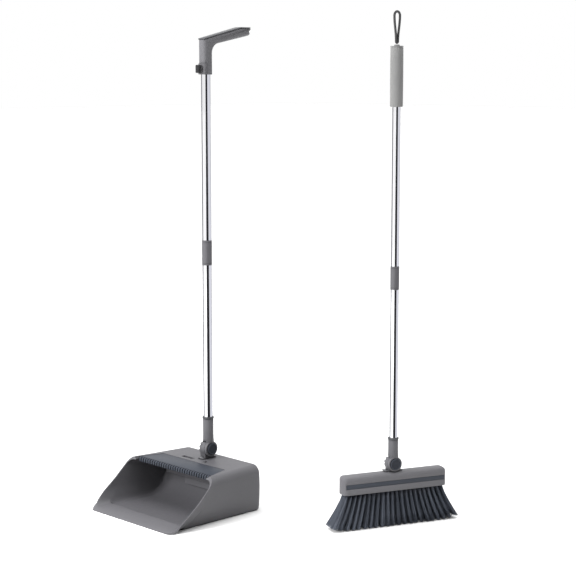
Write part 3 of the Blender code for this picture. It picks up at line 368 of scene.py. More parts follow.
dust_group, dust_in, dust_out = new_group(
    "settled_dust",
    [("Colour", COLOUR, (0.2, 0.2, 0.2, 1)), ("Dust Colour", COLOUR, (0.33, 0.31, 0.29, 1)),
     ("Vector", VECTOR, (0, 0, 0)), ("Amount", FLOAT, 0.2)],
    [("Colour", COLOUR), ("Mask", FLOAT)])
up = dust_group.nodes.new("ShaderNodeSeparateXYZ")
dust_geometry = dust_group.nodes.new("ShaderNodeNewGeometry")
dust_group.links.new(dust_geometry.outputs["Normal"], up.inputs[0])
lying = math_node(dust_group, "MULTIPLY", up.outputs["Z"], dust_in["Amount"], clamp=True)
speckle = noise(dust_group, dust_in["Vector"], 420.0, 6.0, 0.75)
thick = math_node(dust_group, "SUBTRACT", speckle, PATCH_FROM)
patches = math_node(dust_group, "MULTIPLY", thick, PATCH_GAIN, clamp=True)
dust_mask = math_node(dust_group, "MULTIPLY", lying, patches)
dust_group.links.new(dust_mask, dust_out["Mask"])
dust_group.links.new(mix_colour(dust_group, dust_mask, dust_in["Colour"], dust_in["Dust Colour"]),
                     dust_out["Colour"])
print("node groups:", [group.name for group in bpy.data.node_groups])


# %% [markdown]
# ## Moulded plastic
# All the plastic comes from the same few moulds and colours: a warm grey for the pan, the
# block and the grips, a blue slate for the comb and buttons, and a darker one for the trims.
# One function makes them all. It takes the colour, how rough the mould was, and how deep its
# grain is.

# %% Plastic finishes
def place_group(tree, group, **inputs):
    node = tree.nodes.new("ShaderNodeGroup")
    node.node_tree = group
    for label, value in inputs.items():
        socket = node.inputs[label.replace("_", " ")]
        if isinstance(value, (int, float, tuple)):
            socket.default_value = value
        else:
            tree.links.new(value, socket)
    return node.outputs


def bump(tree, height, strength, distance, normal=None):
    node = tree.nodes.new("ShaderNodeBump")
    node.inputs["Strength"].default_value = strength
    node.inputs["Distance"].default_value = distance
    tree.links.new(height, node.inputs["Height"])
    if normal:
        tree.links.new(normal, node.inputs["Normal"])
    return node.outputs["Normal"]


def to_range(tree, value, low, high):
    node = tree.nodes.new("ShaderNodeMapRange")
    node.inputs["To Min"].default_value = low
    node.inputs["To Max"].default_value = high
    tree.links.new(value, node.inputs["Value"])
    return node.outputs["Result"]


def plastic(name, colour, roughness, grain_depth=0.000015, spread=0.08, worn=0.45, dust=0.12,
            specular=0.45, gaps=0.7):
    """Moulded plastic. spread is how far the colour drifts, as a share of itself, and gaps is how
    much painted shade its gaps get.
    """
    material, _, links, shader = new_material(name)
    tree = material.node_tree
    coordinates = tree.nodes.new("ShaderNodeTexCoord").outputs["Object"]
    grain = place_group(tree, grain_group, Vector=coordinates)
    darker = tuple(c * (1 - spread) for c in colour) + (1,)
    lighter = tuple(c * (1 + spread) for c in colour) + (1,)
    base = mix_colour(tree, grain["Drift"], darker, lighter)
    rubbed = tuple(min(1, c * 1.7 + 0.02) for c in colour) + (1,)
    edge = place_group(tree, edge_group, Colour=base, Worn_Colour=rubbed, Amount=worn,
                       Patchiness=to_range(tree, grain["Rub"], 0.4, 1.0))
    dusty = tuple(min(1, c * 1.25 + 0.03) for c in colour) + (1,)
    dusted = place_group(tree, dust_group, Colour=edge["Colour"], Dust_Colour=dusty,
                         Vector=coordinates, Amount=dust)
    # Painted shade: darker where the Ambient Occlusion node finds the surface hidden
    gap_shaded = place_group(tree, gap_shade_group, Colour=dusted["Colour"], Amount=gaps)
    links.new(gap_shaded["Colour"], shader.inputs["Base Color"])
    links.new(to_range(tree, grain["Rub"], roughness - 0.06, roughness + 0.10),
              shader.inputs["Roughness"])
    links.new(bump(tree, grain["Height"], 0.5, grain_depth), shader.inputs["Normal"])
    shader.inputs["Specular IOR Level"].default_value = specular
    return material


finishes = {
    "grey_plastic": plastic("moulded_grey", (0.066, 0.065, 0.071), 0.46),
    # The comb's slots take the full painted gap shade
    "slate_plastic": plastic("moulded_slate", (0.023, 0.027, 0.036), 0.46, worn=0.30, dust=0.08,
                             specular=0.24, gaps=1.0),
    "dark_plastic": plastic("moulded_dark", (0.040, 0.041, 0.045), 0.34, worn=0.30, dust=0.05),
    "rubber": plastic("pad_rubber", (0.012, 0.012, 0.013), 0.62, grain_depth=0.00006, worn=0.2,
                      specular=0.3),
}
handle_finish = plastic("handle_grey", (0.078, 0.077, 0.083), 0.44)
collar_finish = plastic("collar_grey", (0.060, 0.059, 0.064), 0.40)
cap_finish = plastic("cap_grey", (0.165, 0.165, 0.165), 0.50)
strap_finish = plastic("strap_vinyl", (0.030, 0.030, 0.030), 0.24, worn=0.2, dust=0.02,
                       specular=0.6)
print("plastics:", sorted(finishes))

# %% [markdown]
# ## Metal
# The tubes are thin steel under bright chrome. Chrome is almost a mirror, but a used tube has
# faint lines along it, left by drawing and polishing, and a haze of finger marks that dulls it
# in patches. The screws are plain zinc, which is duller and a little blue.

# %% Metal finishes
LINE_SCALE = (900, 900, 6)  # fine across the tube and long along it


def metal(name, colour, polish, haze, line_depth):
    """polish is the roughness of the cleanest patches, and haze how much rougher the marks are."""
    material, _, links, shader = new_material(name)
    tree = material.node_tree
    coordinates = tree.nodes.new("ShaderNodeTexCoord").outputs["Object"]
    stretch = tree.nodes.new("ShaderNodeMapping")
    stretch.inputs["Scale"].default_value = LINE_SCALE
    links.new(coordinates, stretch.inputs["Vector"])
    lines = noise(tree, stretch.outputs["Vector"], 1.0, 3.0, 0.6)
    marks = noise(tree, coordinates, 26.0, 6.0, 0.65)
    tone = mix_colour(tree, marks, tuple(c * 0.96 for c in colour) + (1,), tuple(colour) + (1,))
    links.new(tone, shader.inputs["Base Color"])
    smear = math_node(tree, "MULTIPLY", math_node(tree, "SUBTRACT", marks, 0.45), 3.0, clamp=True)
    links.new(to_range(tree, smear, polish, polish + haze), shader.inputs["Roughness"])
    links.new(bump(tree, lines, 0.25, line_depth), shader.inputs["Normal"])
    shader.inputs["Metallic"].default_value = 1.0
    return material


finishes["chrome"] = metal("bright_chrome", (0.86, 0.86, 0.88), 0.035, 0.06, 0.000004)
finishes["steel"] = metal("zinc_steel", (0.56, 0.57, 0.60), 0.26, 0.14, 0.00001)
print("metals: chrome and steel")

# %% [markdown]
# ## Foam and fibre
# The broom's grip is fine-celled foam: matt, pale, and pitted all over. A cell pattern feeds
# its bump and paints shade into the middle of each pit. The bristles are split plastic fibre,
# dark and faintly shiny, and each has its own slightly different tone, so the colour reads a
# number that is stored with each fibre. That number also holds painted shade, darker near the
# block and at each tuft's sides.

# %% Foam and fibre finishes
FOAM_CELLS = 1500
FOAM_DARK, FOAM_LIGHT = (0.150, 0.150, 0.150, 1), (0.190, 0.190, 0.188, 1)
# FOAM_PIT_SHADE is painted shade, darkening the middle of each pit
FOAM_PIT_SHADE, FOAM_WORN = (0.10, 0.10, 0.10, 1), (0.24, 0.24, 0.235, 1)
FIBRE_SCALE = (2200, 2200, 40)  # fine across a fibre and long along it
FIBRE_DARK, FIBRE_LIGHT = (0.026, 0.030, 0.040, 1), (0.120, 0.134, 0.165, 1)


def foam_finish():
    """Closed-cell foam: pitted, matt, and a little fuzzy at grazing angles. Its pits get painted
    shade.
    """
    material, _, links, shader = new_material("grip_foam")
    tree = material.node_tree
    coordinates = tree.nodes.new("ShaderNodeTexCoord").outputs["Object"]
    cells = tree.nodes.new("ShaderNodeTexVoronoi")
    cells.inputs["Scale"].default_value = FOAM_CELLS
    links.new(coordinates, cells.inputs["Vector"])
    drift_here = noise(tree, coordinates, 40.0, 5.0, 0.65)
    swell = math_node(tree, "MULTIPLY", drift_here, 0.6)
    pits = math_node(tree, "ADD", cells.outputs["Distance"], swell)
    base = mix_colour(tree, drift_here, FOAM_DARK, FOAM_LIGHT)
    # Painted shade in the pits: the colour darkens towards each pit's middle
    in_pit = to_range(tree, cells.outputs["Distance"], 0.35, 0.0)
    pitted = mix_colour(tree, in_pit, base, FOAM_PIT_SHADE)
    edge = place_group(tree, edge_group, Colour=pitted, Worn_Colour=FOAM_WORN, Amount=0.4,
                       Patchiness=0.8)
    links.new(edge["Colour"], shader.inputs["Base Color"])
    links.new(to_range(tree, drift_here, 0.78, 0.95), shader.inputs["Roughness"])
    links.new(bump(tree, pits, 0.5, 0.00012), shader.inputs["Normal"])
    shader.inputs["Specular IOR Level"].default_value = 0.25
    shader.inputs["Sheen Weight"].default_value = 0.15
    return material


def fibre_finish():
    """Split plastic fibre. Each fibre's own tone, with painted shade near the block and at a tuft's
    sides, is stored with it, and streaks run along it.
    """
    material, _, links, shader = new_material("split_fibre")
    tree = material.node_tree
    own = tree.nodes.new("ShaderNodeAttribute")
    own.attribute_name = "fibre_tone_and_painted_shade"
    coordinates = tree.nodes.new("ShaderNodeTexCoord").outputs["Object"]
    stretch = tree.nodes.new("ShaderNodeMapping")
    stretch.inputs["Scale"].default_value = FIBRE_SCALE
    links.new(coordinates, stretch.inputs["Vector"])
    streaks = noise(tree, stretch.outputs["Vector"], 1.0, 2.0, 0.6)
    shade = math_node(tree, "ADD", math_node(tree, "MULTIPLY", own.outputs["Fac"], 0.75),
                      math_node(tree, "MULTIPLY", streaks, 0.25))
    links.new(mix_colour(tree, shade, FIBRE_DARK, FIBRE_LIGHT), shader.inputs["Base Color"])
    links.new(to_range(tree, streaks, 0.38, 0.58), shader.inputs["Roughness"])
    links.new(bump(tree, streaks, 0.3, 0.00005), shader.inputs["Normal"])
    shader.inputs["Specular IOR Level"].default_value = 0.4
    return material


finishes["foam"] = foam_finish()
finishes["bristle"] = fibre_finish()
print("finishes:", sorted(finishes))

# %% [markdown]
# ## Carry the solids over
# Most of the moulded pieces already have their right shape. What they lack is the small
# rounding that every mould leaves along an edge, where the light catches. Each solid is
# copied, its loose triangles are merged into whole faces, and a narrow bevel rounds the edges.

# %% Round the edges of a copy
FLAT = math.radians(0.4)  # triangles within this angle are one face
SHARP = 32.0  # edges turned by more degrees than this are rounded, and shaded as edges


def activate(piece):
    deselect_all()
    piece.select_set(True)
    bpy.context.view_layer.objects.active = piece


def apply_modifier(piece, kind, **settings):
    activate(piece)
    modifier = piece.modifiers.new(kind.lower(), kind)
    for name, value in settings.items():
        setattr(modifier, name, value)
    bpy.ops.object.modifier_apply(modifier=modifier.name)


def finish_piece(piece, node, finish=None, smooth=SHARP):
    """Smooth, material, body and slot for a piece that stands for a node."""
    activate(piece)
    bpy.ops.object.shade_smooth_by_angle(angle=math.radians(smooth))
    piece.data.materials.clear()
    piece.data.materials.append(finish or finishes[slot_of_node[node]])
    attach(piece, body_of_node[node])


THICK_FROM = 0.007  # the pan's lip is too thin to round below this height


def mark_thick_edges(piece):
    """Mark the sharp edges above the thin lip, so that only they are rounded."""
    shape = bmesh.from_edit_mesh(piece.data)
    weight = shape.edges.layers.float.new("bevel_weight_edge")
    for line in shape.edges:
        high = min(vertex.co.z for vertex in line.verts) > THICK_FROM
        if high and line.is_manifold and line.calc_face_angle() > math.radians(SHARP):
            line[weight] = 1.0
    bmesh.update_edit_mesh(piece.data)


def rounded_copy(node, name, edge, finish=None, split=False):
    """Copy a node's solid, round its edges and let it stand for the node. split is for a body
    whose large faces have recesses: they are cut into triangles first, so none of them folds."""
    copy = bpy.data.objects.new(name, nodes[node].data.copy())
    bpy.context.scene.collection.objects.link(copy)
    activate(copy)
    bpy.ops.object.mode_set(mode="EDIT")
    bpy.ops.mesh.select_all(action="SELECT")
    bpy.ops.mesh.remove_doubles(threshold=0.000002)
    bpy.ops.mesh.dissolve_limited(angle_limit=FLAT)
    bpy.ops.mesh.normals_make_consistent(inside=False)
    if split:
        bpy.ops.mesh.quads_convert_to_tris(quad_method="BEAUTY", ngon_method="BEAUTY")
        mark_thick_edges(copy)
    bpy.ops.object.mode_set(mode="OBJECT")
    apply_modifier(copy, "BEVEL", width=edge, segments=2,
                   limit_method="WEIGHT" if split else "ANGLE", angle_limit=math.radians(SHARP),
                   use_clamp_overlap=False, harden_normals=False)
    finish_piece(copy, node, finish)
    if split:
        apply_modifier(copy, "WEIGHTED_NORMAL", keep_sharp=True, weight=80)
    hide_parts(node)
    return copy


EDGES = {  # the rounding of each moulded piece's edges
    "pan_body": 0.0006, "pan_base_cover": 0.0003, "pan_comb": 0.0003, "pan_baffle": 0.0003,
    "pan_hinge_bracket": 0.0003, "pan_socket": 0.0005,
    "pan_hand_grip": 0.0005, "pan_grip_strip": 0.0003, "pan_clip_collar": 0.0003,
    "pan_clip_pad": 0.0003, "broom_block": 0.0005, "broom_front_stripe": 0.00025,
    "broom_rear_stripe": 0.00025, "broom_bristle_plate": 0.0005, "broom_hinge_bracket": 0.0003,
    "broom_socket": 0.0005,
}
OTHER_FINISH = {"pan_hand_grip": handle_finish, "pan_clip_collar": collar_finish}
for node, edge in EDGES.items():
    copy = rounded_copy(node, f"{node}_moulded", edge, OTHER_FINISH.get(node),
                        split=node == "pan_body")
    print(copy.name, len(copy.data.polygons), "faces")

# %% [markdown]
# The pieces inside the hinges hardly show, so they stay as they are and only get their finish.

# %% Finish the hidden pieces
others = [node for node in nodes if node not in EDGES]
for node in others:
    nodes[node].data.materials.clear()
    nodes[node].data.materials.append(finishes[slot_of_node[node]])
print("plain finishes on", len(others), "nodes")

# %% [markdown]
# ## Turned pieces
# Tubes, rings, the foam sleeve and the buttons are round, so half of their section is drawn
# and spun round an axis. Sixty-four steps keep the chrome's reflection straight. The outline is
# drawn as by hand: one point is extruded from each place to the next. It ends where it began,
# so a tube gets its inner wall in the same turn, unless both of its ends lie on the axis.

# %% Spin a section
STEPS = 64


def turned(name, section, centre, axis=(0, 0, 1), steps=STEPS):
    """Draw (radius, height) points and spin them round an axis through centre."""
    outline = section + section[:1] if section[0][0] > 0 else section
    deselect_all()
    bpy.ops.mesh.primitive_plane_add(size=0.001)
    piece = bpy.context.active_object
    piece.name = piece.data.name = name
    bpy.ops.object.mode_set(mode="EDIT")
    bpy.ops.mesh.merge(type="CENTER")
    bpy.ops.transform.translate(value=(outline[0][0], 0, outline[0][1]))
    for (radius, height), (next_radius, next_height) in zip(outline, outline[1:]):
        step = (next_radius - radius, 0, next_height - height)
        bpy.ops.mesh.extrude_region_move(TRANSFORM_OT_translate={"value": step})
    bpy.ops.mesh.select_all(action="SELECT")
    bpy.ops.mesh.spin(steps=steps, angle=2 * math.pi, center=(0, 0, 0), axis=(0, 0, 1))
    bpy.ops.mesh.select_all(action="SELECT")
    bpy.ops.mesh.remove_doubles(threshold=0.000005)
    bpy.ops.mesh.normals_make_consistent(inside=False)
    bpy.ops.mesh.delete_loose(use_faces=False)
    bpy.ops.object.mode_set(mode="OBJECT")
    turn = Vector((0, 0, 1)).rotation_difference(Vector(axis)).to_matrix().to_4x4()
    piece.data.transform(Matrix.Translation(centre) @ turn)
    return piece


def rounded_corner(radius_at, height_at, size, start, steps=4):
    """A quarter round about (radius_at, height_at); start is its first angle in degrees."""
    angles = [math.radians(start + 90 * i / steps) for i in range(steps + 1)]
    return [(radius_at + size * math.cos(angle), height_at + size * math.sin(angle))
            for angle in angles]


TUBE_WALL = 0.0008
TUBE_CHAMFER = 0.0002


def size_of(node):
    """A round node's centre line, radius, bottom and top."""
    low, high = (Vector(corner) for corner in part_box(node))
    middle = (low + high) / 2
    return (middle.x, middle.y, 0), (high.y - low.y) / 2, low.z, high.z


for tool in ("pan", "broom"):
    for part in ("lower_tube", "upper_tube"):
        node = f"{tool}_{part}"
        centre, radius, low, high = size_of(node)
        inner = radius - TUBE_WALL
        section = [(inner, low), (radius - TUBE_CHAMFER, low), (radius, low + TUBE_CHAMFER),
                   (radius, high - TUBE_CHAMFER), (radius - TUBE_CHAMFER, high), (inner, high)]
        piece = turned(f"{node}_chromed", section, centre)
        finish_piece(piece, node)
        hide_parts(node)
        print(piece.name, round(radius * 2000, 1), "mm across")

# %% [markdown]
# The ring on each socket and the grey coupling between the tubes are turned the same way. A
# coupling has a plug at each end that reaches into a tube, and a band between them with a
# shallow groove near each edge, so that fingers can twist the tubes apart.

# %% Turn the rings and couplings
GAP = 0.0003
RING_FOOT_ROUND, RING_TOP_ROUND = 0.0008, 0.0007
RING_LEAD = 0.0004  # height of the slope under the ring's lower round
PLUG_REACH, PLUG_WALL = 0.022, 0.002
BAND_ROUND = 0.0004
GROOVE, GROOVE_HALF, GROOVE_FROM_EDGE = 0.0003, 0.0006, 0.0035

for tool in ("pan", "broom"):
    tube_radius = size_of(f"{tool}_lower_tube")[1]
    node = f"{tool}_socket_ring"
    centre, radius, low, high = size_of(node)
    section = [(tube_radius + GAP, low), (radius - RING_FOOT_ROUND - 0.0002, low)]
    section += rounded_corner(radius - RING_FOOT_ROUND, low + RING_LEAD + RING_FOOT_ROUND,
                              RING_FOOT_ROUND, -90)
    section += rounded_corner(radius - RING_TOP_ROUND, high - RING_TOP_ROUND, RING_TOP_ROUND, 0)
    section += [(tube_radius + GAP + 0.0002, high), (tube_radius + GAP, high - 0.0003)]
    ring = turned(f"{node}_turned", section, centre)
    finish_piece(ring, node)
    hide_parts(node)

    node = f"{tool}_tube_coupling"
    centre, radius, low, high = size_of(node)
    plug = tube_radius - TUBE_WALL - GAP
    band_low, band_high = low + PLUG_REACH, high - PLUG_REACH
    section = [(plug - PLUG_WALL, low), (plug, low), (plug, band_low)]
    section += rounded_corner(radius - BAND_ROUND, band_low + BAND_ROUND, BAND_ROUND, -90, 3)
    for groove_at in (band_low + GROOVE_FROM_EDGE, band_high - GROOVE_FROM_EDGE):
        section += [(radius, groove_at - GROOVE_HALF), (radius - GROOVE, groove_at - GROOVE),
                    (radius - GROOVE, groove_at + GROOVE), (radius, groove_at + GROOVE_HALF)]
    section += rounded_corner(radius - BAND_ROUND, band_high - BAND_ROUND, BAND_ROUND, 0, 3)
    section += [(plug, band_high), (plug, high), (plug - PLUG_WALL, high)]
    coupling = turned(f"{node}_turned", section, centre)
    finish_piece(coupling, node)
    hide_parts(node)
    print(coupling.name, "band", round((band_high - band_low) * 1000), "mm long")

# %% [markdown]
# ## The broom's grip
# A foam sleeve is cut from a long tube, so its ends are square with a softened edge. It swells
# a little between them.

# %% Turn the foam
FOAM_ROUND = 0.0014
FOAM_SWELL = 0.0002

node = "broom_foam_grip"
centre, radius, low, high = size_of(node)
inner = size_of("broom_upper_tube")[1] + GAP
end_radius = radius - FOAM_SWELL
section = [(inner, low), (end_radius - FOAM_ROUND - 0.0002, low)]
section += rounded_corner(end_radius - FOAM_ROUND, low + FOAM_ROUND, FOAM_ROUND, -90)
section += [(end_radius + FOAM_SWELL * math.sin(math.pi * share), low + (high - low) * share)
            for share in (0.2, 0.4, 0.6, 0.8)]
section += rounded_corner(end_radius - FOAM_ROUND, high - FOAM_ROUND, FOAM_ROUND, 0)
section += [(inner, high)]
foam = turned("broom_foam_sleeve", section, centre)
finish_piece(foam, node)
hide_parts(node)
print("grip", round(radius * 2000, 1), "mm across")

# %% [markdown]
# The cap closes the upper tube with a plug. Its rim is as wide as the foam, to hide the foam's
# cut end, and a short boss on top carries the hanging loop.

# %% Turn the cap
CAP_THICK, BOSS_RADIUS, BOSS_HIGH = 0.0020, 0.0052, 0.0024
RIM_UNDER_ROUND, RIM_ROUND, BOSS_FILLET = 0.0006, 0.0008, 0.0004
PLUG_CHAMFER = 0.0005

node = "broom_end_cap"
centre, cap_radius, low, high = size_of(node)
plug = size_of("broom_upper_tube")[1] - TUBE_WALL - GAP
rim_top = high - BOSS_HIGH
rim_under = rim_top - CAP_THICK
section = [(0, low), (plug - PLUG_CHAMFER, low), (plug, low + PLUG_CHAMFER), (plug, rim_under)]
section += rounded_corner(cap_radius - RIM_UNDER_ROUND, rim_under + RIM_UNDER_ROUND,
                          RIM_UNDER_ROUND, -90, 3)
section += rounded_corner(cap_radius - RIM_ROUND, rim_top - RIM_ROUND, RIM_ROUND, 0)
section += [(BOSS_RADIUS + BOSS_FILLET, rim_top), (BOSS_RADIUS, rim_top + BOSS_FILLET)]
section += rounded_corner(BOSS_RADIUS - RIM_ROUND, high - RIM_ROUND, RIM_ROUND, 0)
section += [(0, high)]
cap = turned("broom_cap_turned", section, centre)
finish_piece(cap, node, cap_finish)
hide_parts(node)
print("cap", round(cap_radius * 2000, 1), "mm across")

# %% [markdown]
# ## The hanging loop
# The loop is a round vinyl cord moulded stiff, closed at the foot where it sits on the boss.
# It is drawn as a smooth closed line, narrow at the foot and round at the top, and the line
# gets a round section.

# %% Draw the loop
low, high = (Vector(corner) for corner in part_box("broom_hanging_loop"))
strand = (high.x - low.x) / 2
loop_x, loop_y = (low.x + high.x) / 2, (low.y + high.y) / 2
wide = (high.y - low.y) / 2 - strand
FOOT_HALF = 0.0026
foot_z, crown_z = low.z + strand + FOOT_HALF, high.z - strand - wide


def half_width(share):
    """Half the loop's width at a share of the way from its foot to its crown."""
    return FOOT_HALF + (wide - FOOT_HALF) * (0.5 - 0.5 * math.cos(math.pi * share))


def quarter(steps):
    """Angles of a quarter turn, both ends included."""
    return [math.pi / 2 * i / steps for i in range(steps + 1)]


FOOT_STEPS, RISE_STEPS, CROWN_STEPS = 6, 22, 14
side = [(FOOT_HALF * math.sin(angle), foot_z - FOOT_HALF * math.cos(angle))
        for angle in quarter(FOOT_STEPS)[:-1]]
side += [(half_width(i / RISE_STEPS), foot_z + (crown_z - foot_z) * i / RISE_STEPS)
         for i in range(RISE_STEPS + 1)]
side += [(wide * math.cos(angle), crown_z + wide * math.sin(angle))
         for angle in quarter(CROWN_STEPS)[1:]]
line = side + [(-y, z) for y, z in reversed(side[1:-1])]
curve = bpy.data.curves.new("broom_loop", "CURVE")
curve.dimensions = "3D"
curve.bevel_depth = strand
curve.bevel_resolution = 6
path = curve.splines.new("POLY")
path.points.add(len(line) - 1)
path.use_cyclic_u = True
for point, (y, z) in zip(path.points, line):
    point.co = (loop_x, loop_y + y, z, 1)
loop = bpy.data.objects.new("broom_loop_moulded", curve)
bpy.context.scene.collection.objects.link(loop)
activate(loop)
bpy.ops.object.convert(target="MESH")
loop = bpy.context.active_object
finish_piece(loop, "broom_hanging_loop", strap_finish, 60)
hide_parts("broom_hanging_loop")
print("loop", round((high.z - low.z) * 1000), "mm tall")

# %% [markdown]
# ## The release buttons
# Each button is a dished disc that sits in the ear's pocket, with its plunger behind. Seven low
# ribs across the dish give the thumb a hold. The disc and its plunger are turned in one, and the
# ribs are thin round bars, half sunk in the dish.

# %% Turn the buttons
PLUNGER = 0.0055
PIN_HOLE = 0.0031
BUTTON_LOW, BUTTON_BACK, BUTTON_FACE = 0.0070, 0.0101, 0.0134
DISH, DISH_SHARE = 0.0009, 0.80  # how deep the dish is, and its share of the button's radius
FACE_ROUND = 0.0009
PIN_END = BUTTON_BACK + 0.0012  # the hinge pin's end stands in the hole behind the dish
RIBS, RIB_RADIUS = 7, 0.00042

for tool in ("pan", "broom"):
    node = f"{tool}_release_button"
    low, high = (Vector(corner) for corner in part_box(node))
    radius = (high.z - low.z) / 2
    axis = -Vector(fold[f"{tool}_button_press"]["axis"])
    centre = Vector(fold[f"{tool}_fold"]["pos_m"])
    dish = radius * DISH_SHARE
    dish_floor = BUTTON_FACE - DISH
    section = [(PIN_HOLE, BUTTON_LOW), (PLUNGER, BUTTON_LOW), (PLUNGER, BUTTON_BACK),
               (radius, BUTTON_BACK)]
    section += rounded_corner(radius - FACE_ROUND, BUTTON_FACE - FACE_ROUND, FACE_ROUND, 0)
    section += [(dish + 0.0005, BUTTON_FACE), (dish, BUTTON_FACE - 0.0003),
                (dish - 0.0006, dish_floor), (0, dish_floor), (0, PIN_END), (PIN_HOLE, PIN_END)]
    button = turned(f"{node}_dished", section, centre, axis)
    ribs = []
    for index in range(RIBS):
        across = (index - (RIBS - 1) / 2) * 2 * dish / (RIBS + 0.6)
        reach = math.sqrt((dish - 0.0012) ** 2 - across ** 2)
        deselect_all()
        bpy.ops.mesh.primitive_cylinder_add(vertices=12, radius=RIB_RADIUS, depth=2 * reach)
        rib = bpy.context.active_object
        rib.data.transform(Matrix.Translation((dish_floor + 0.0001, across, 0)))
        turn = Vector((1, 0, 0)).rotation_difference(axis).to_matrix().to_4x4()
        rib.data.transform(Matrix.Translation(centre) @ turn)
        ribs.append(rib)
    activate(button)
    for rib in ribs:
        rib.select_set(True)
    bpy.ops.object.join()
    finish_piece(button, node)
    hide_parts(node)
    print(button.name, round(radius * 2000, 1), "mm across")

# %% [markdown]
# ## Screws
# Small pan-headed screws hold the hinge brackets, and flat ones hold the cover under the pan.
# A cross recess is cut in each head with two thin bars, as the punch does at the factory.

# %% Turn the screws and cut their heads
SHANK, COVER_SHANK = 0.0012, 0.0011
HEAD_HIGH, COVER_HEAD_HIGH = 0.0014, 0.0007
BAR_WIDTH = 0.0008
SCREW_STEPS = 24


def cross_recess(piece, centre, top, depth, length):
    """Cut a cross into a screw's head, to a depth on both sides of its top."""
    bars = []
    for turn in (0, 90):
        deselect_all()
        bpy.ops.mesh.primitive_cube_add(size=1)
        bar = bpy.context.active_object
        bar.data.transform(Matrix.Diagonal((length, BAR_WIDTH, depth * 2, 1)))
        bar.data.transform(Matrix.Rotation(math.radians(turn + 20), 4, "Z"))
        bar.data.transform(Matrix.Translation((centre[0], centre[1], top)))
        bars.append(bar)
    for bar in bars:
        apply_modifier(piece, "BOOLEAN", operation="DIFFERENCE", solver="EXACT", object=bar)
        bpy.data.objects.remove(bar, do_unlink=True)


for node in sorted(name for name in nodes if "screw" in name):
    centre, radius, low, high = size_of(node)
    if "cover" in node:
        head = low + COVER_HEAD_HIGH
        section = [(0, low), (radius - 0.0002, low), (radius, low + 0.0002),
                   (radius, head - 0.0001), (COVER_SHANK, head), (COVER_SHANK, high), (0, high)]
        screw = turned(f"{node}_turned", section, centre, steps=SCREW_STEPS)
        cross_recess(screw, centre, low, depth=0.0005, length=0.0036)
    else:
        seat = high - HEAD_HIGH
        section = [(0, low), (SHANK, low), (SHANK, seat), (radius, seat)]
        section += [(radius * math.cos(angle), seat + HEAD_HIGH * math.sin(angle))
                    for angle in map(math.radians, (15, 35, 55, 72))]
        section += [(0, high)]
        screw = turned(f"{node}_turned", section, centre, steps=SCREW_STEPS)
        cross_recess(screw, centre, high, depth=0.0006, length=0.0034)
    finish_piece(screw, node)
    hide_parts(node)
print("screws:", len([name for name in nodes if "screw" in name]))

# %% [markdown]
# ## The broom's tufts
# The block is drilled with rows of holes, and each hole holds a tuft of split fibres. A tuft
# leaves its hole narrow and spreads towards the floor, and the outer tufts lean outwards. One
# fibre is modelled: a three-sided bar, cut across a few times so that it can bend.

# %% Model one fibre
FIBRE_RADIUS = 0.00030
BENDS = 3

deselect_all()
bpy.ops.mesh.primitive_cylinder_add(vertices=3, radius=1.0, depth=1.0, end_fill_type="NGON")
fibre = bpy.context.active_object
for edge in fibre.data.edges:
    first, second = (fibre.data.vertices[i].co for i in edge.vertices)
    edge.select = abs(first.z - second.z) > 0.5
for item in list(fibre.data.vertices) + list(fibre.data.polygons):
    item.select = False
for edge in fibre.data.edges:
    if edge.select:
        for i in edge.vertices:
            fibre.data.vertices[i].select = False
bpy.context.tool_settings.mesh_select_mode = (False, True, False)
bpy.ops.object.mode_set(mode="EDIT")
bpy.ops.mesh.subdivide(number_cuts=BENDS)
bpy.ops.object.mode_set(mode="OBJECT")
fibre_points = [(v.co.x, v.co.y, v.co.z + 0.5) for v in fibre.data.vertices]  # tip 0, root 1
fibre_faces = [tuple(face.vertices) for face in fibre.data.polygons]
bpy.data.objects.remove(fibre, do_unlink=True)
print("one fibre:", len(fibre_points), "points", len(fibre_faces), "faces")

# %% [markdown]
# Every fibre is a copy of that one, bent from its hole to its own tip. Hair curves could stand
# for them, but they have no solid to export, so the copies are meshes, gathered into one piece
# for each row. Tips are uneven, as on any used broom, and each fibre stores a number for its
# tone. That number also carries painted shade: darker towards the roots under the block and at
# the sides of each tuft.

# %% Plant the rows
ROWS, TUFTS, FIBRES = 5, 22, 78
ROOT_ALONG, TIP_ALONG = 0.1010, 0.1305  # from the middle to the outermost tuft
ROOT_ACROSS, TIP_ACROSS = 0.0086, 0.0165
HOLE = 0.0018  # radius of a tuft at its hole
SPREAD_ALONG, SPREAD_ACROSS = 0.0047, 0.0044  # and half its width at the floor
UNEVEN = 0.0042  # how far the shortest fibres end above the longest
END_LIFT = 0.0045  # how far the outermost tufts' tips are raised
TUFT_LEAN, CURL = 0.0016, 0.0006
# EDGE_SHADE is painted shade: fibres at a tuft's sides are darker, so the gaps between tufts read
# dark
MIDDLE_TONE, TUFT_TONE, FIBRE_TONE, EDGE_SHADE = 0.62, 0.10, 0.16, 0.50

bristle_low, bristle_high = (Vector(corner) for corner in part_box("broom_bristles"))
block_low, block_high = (Vector(corner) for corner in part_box("broom_block"))
block_middle = (block_low + block_high) / 2
across_way = Vector(fold["broom_fold"]["axis"])
along_way = Vector((-across_way.y, across_way.x, 0))
root_z = bristle_high.z + 0.0010
chance = random.Random(7)

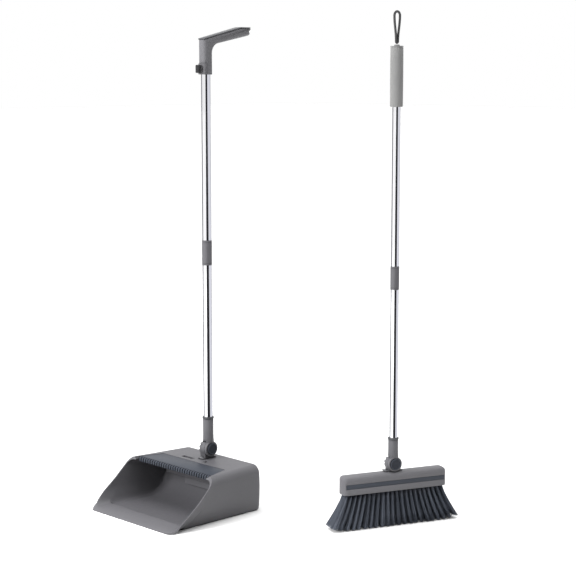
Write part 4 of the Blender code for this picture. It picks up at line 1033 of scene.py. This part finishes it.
rows = []
for row in range(ROWS):
    points, faces, tones_and_shade = [], [], []
    row_share = 2 * row / (ROWS - 1) - 1
    for tuft in range(TUFTS):
        tuft_share = 2 * tuft / (TUFTS - 1) - 1
        lean = chance.uniform(-TUFT_LEAN, TUFT_LEAN)
        tuft_tone = chance.uniform(-TUFT_TONE, TUFT_TONE)
        lift = END_LIFT * max(0.0, abs(tuft_share) - 0.75) / 0.25
        for _ in range(FIBRES):
            reach, angle = math.sqrt(chance.random()), chance.uniform(0, 2 * math.pi)
            aside, ahead = reach * math.cos(angle), reach * math.sin(angle)
            root = (ROOT_ALONG * tuft_share + HOLE * aside, ROOT_ACROSS * row_share + HOLE * ahead)
            tip = (TIP_ALONG * tuft_share + SPREAD_ALONG * aside + lean + chance.gauss(0, 0.0006),
                   TIP_ACROSS * row_share + SPREAD_ACROSS * ahead + chance.gauss(0, 0.0008))
            tip_z = lift + 0.0004 + UNEVEN * chance.random() ** 2 + 0.0012 * reach ** 2
            curl = chance.uniform(-CURL, CURL)
            first = len(points)
            # The fibre's own tone, less painted shade towards the tuft's sides
            tone = MIDDLE_TONE + tuft_tone + chance.gauss(0, FIBRE_TONE) - EDGE_SHADE * aside ** 2
            tone = min(1.0, max(0.0, tone))
            for x, y, share in fibre_points:
                down = 1 - share
                bend = down ** 1.25
                along = root[0] + (tip[0] - root[0]) * bend + curl * math.sin(math.pi * down)
                across = root[1] + (tip[1] - root[1]) * bend
                along += x * FIBRE_RADIUS
                across += y * FIBRE_RADIUS
                place = block_middle + along_way * along + across_way * across
                points.append((place.x, place.y, root_z + (tip_z - root_z) * down))
                # Painted shade: each fibre grows darker towards its root, under the block
                tones_and_shade.append(tone * (0.70 + 0.30 * down))
            faces += [tuple(first + i for i in face) for face in fibre_faces]
    mesh = bpy.data.meshes.new(f"broom_tufts_row_{row + 1}")
    mesh.from_pydata(points, [], faces)
    stored = mesh.attributes.new("fibre_tone_and_painted_shade", "FLOAT", "POINT")
    stored.data.foreach_set("value", tones_and_shade)
    planted = bpy.data.objects.new(f"broom_tufts_row_{row + 1}", mesh)
    bpy.context.scene.collection.objects.link(planted)
    activate(planted)
    bpy.ops.object.mode_set(mode="EDIT")
    bpy.ops.mesh.select_all(action="SELECT")
    bpy.ops.mesh.normals_make_consistent(inside=False)
    bpy.ops.object.mode_set(mode="OBJECT")
    finish_piece(planted, "broom_bristles", smooth=100)
    rows.append(planted)
    print(planted.name, len(mesh.polygons), "faces")
for planted in rows:
    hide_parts("broom_bristles")
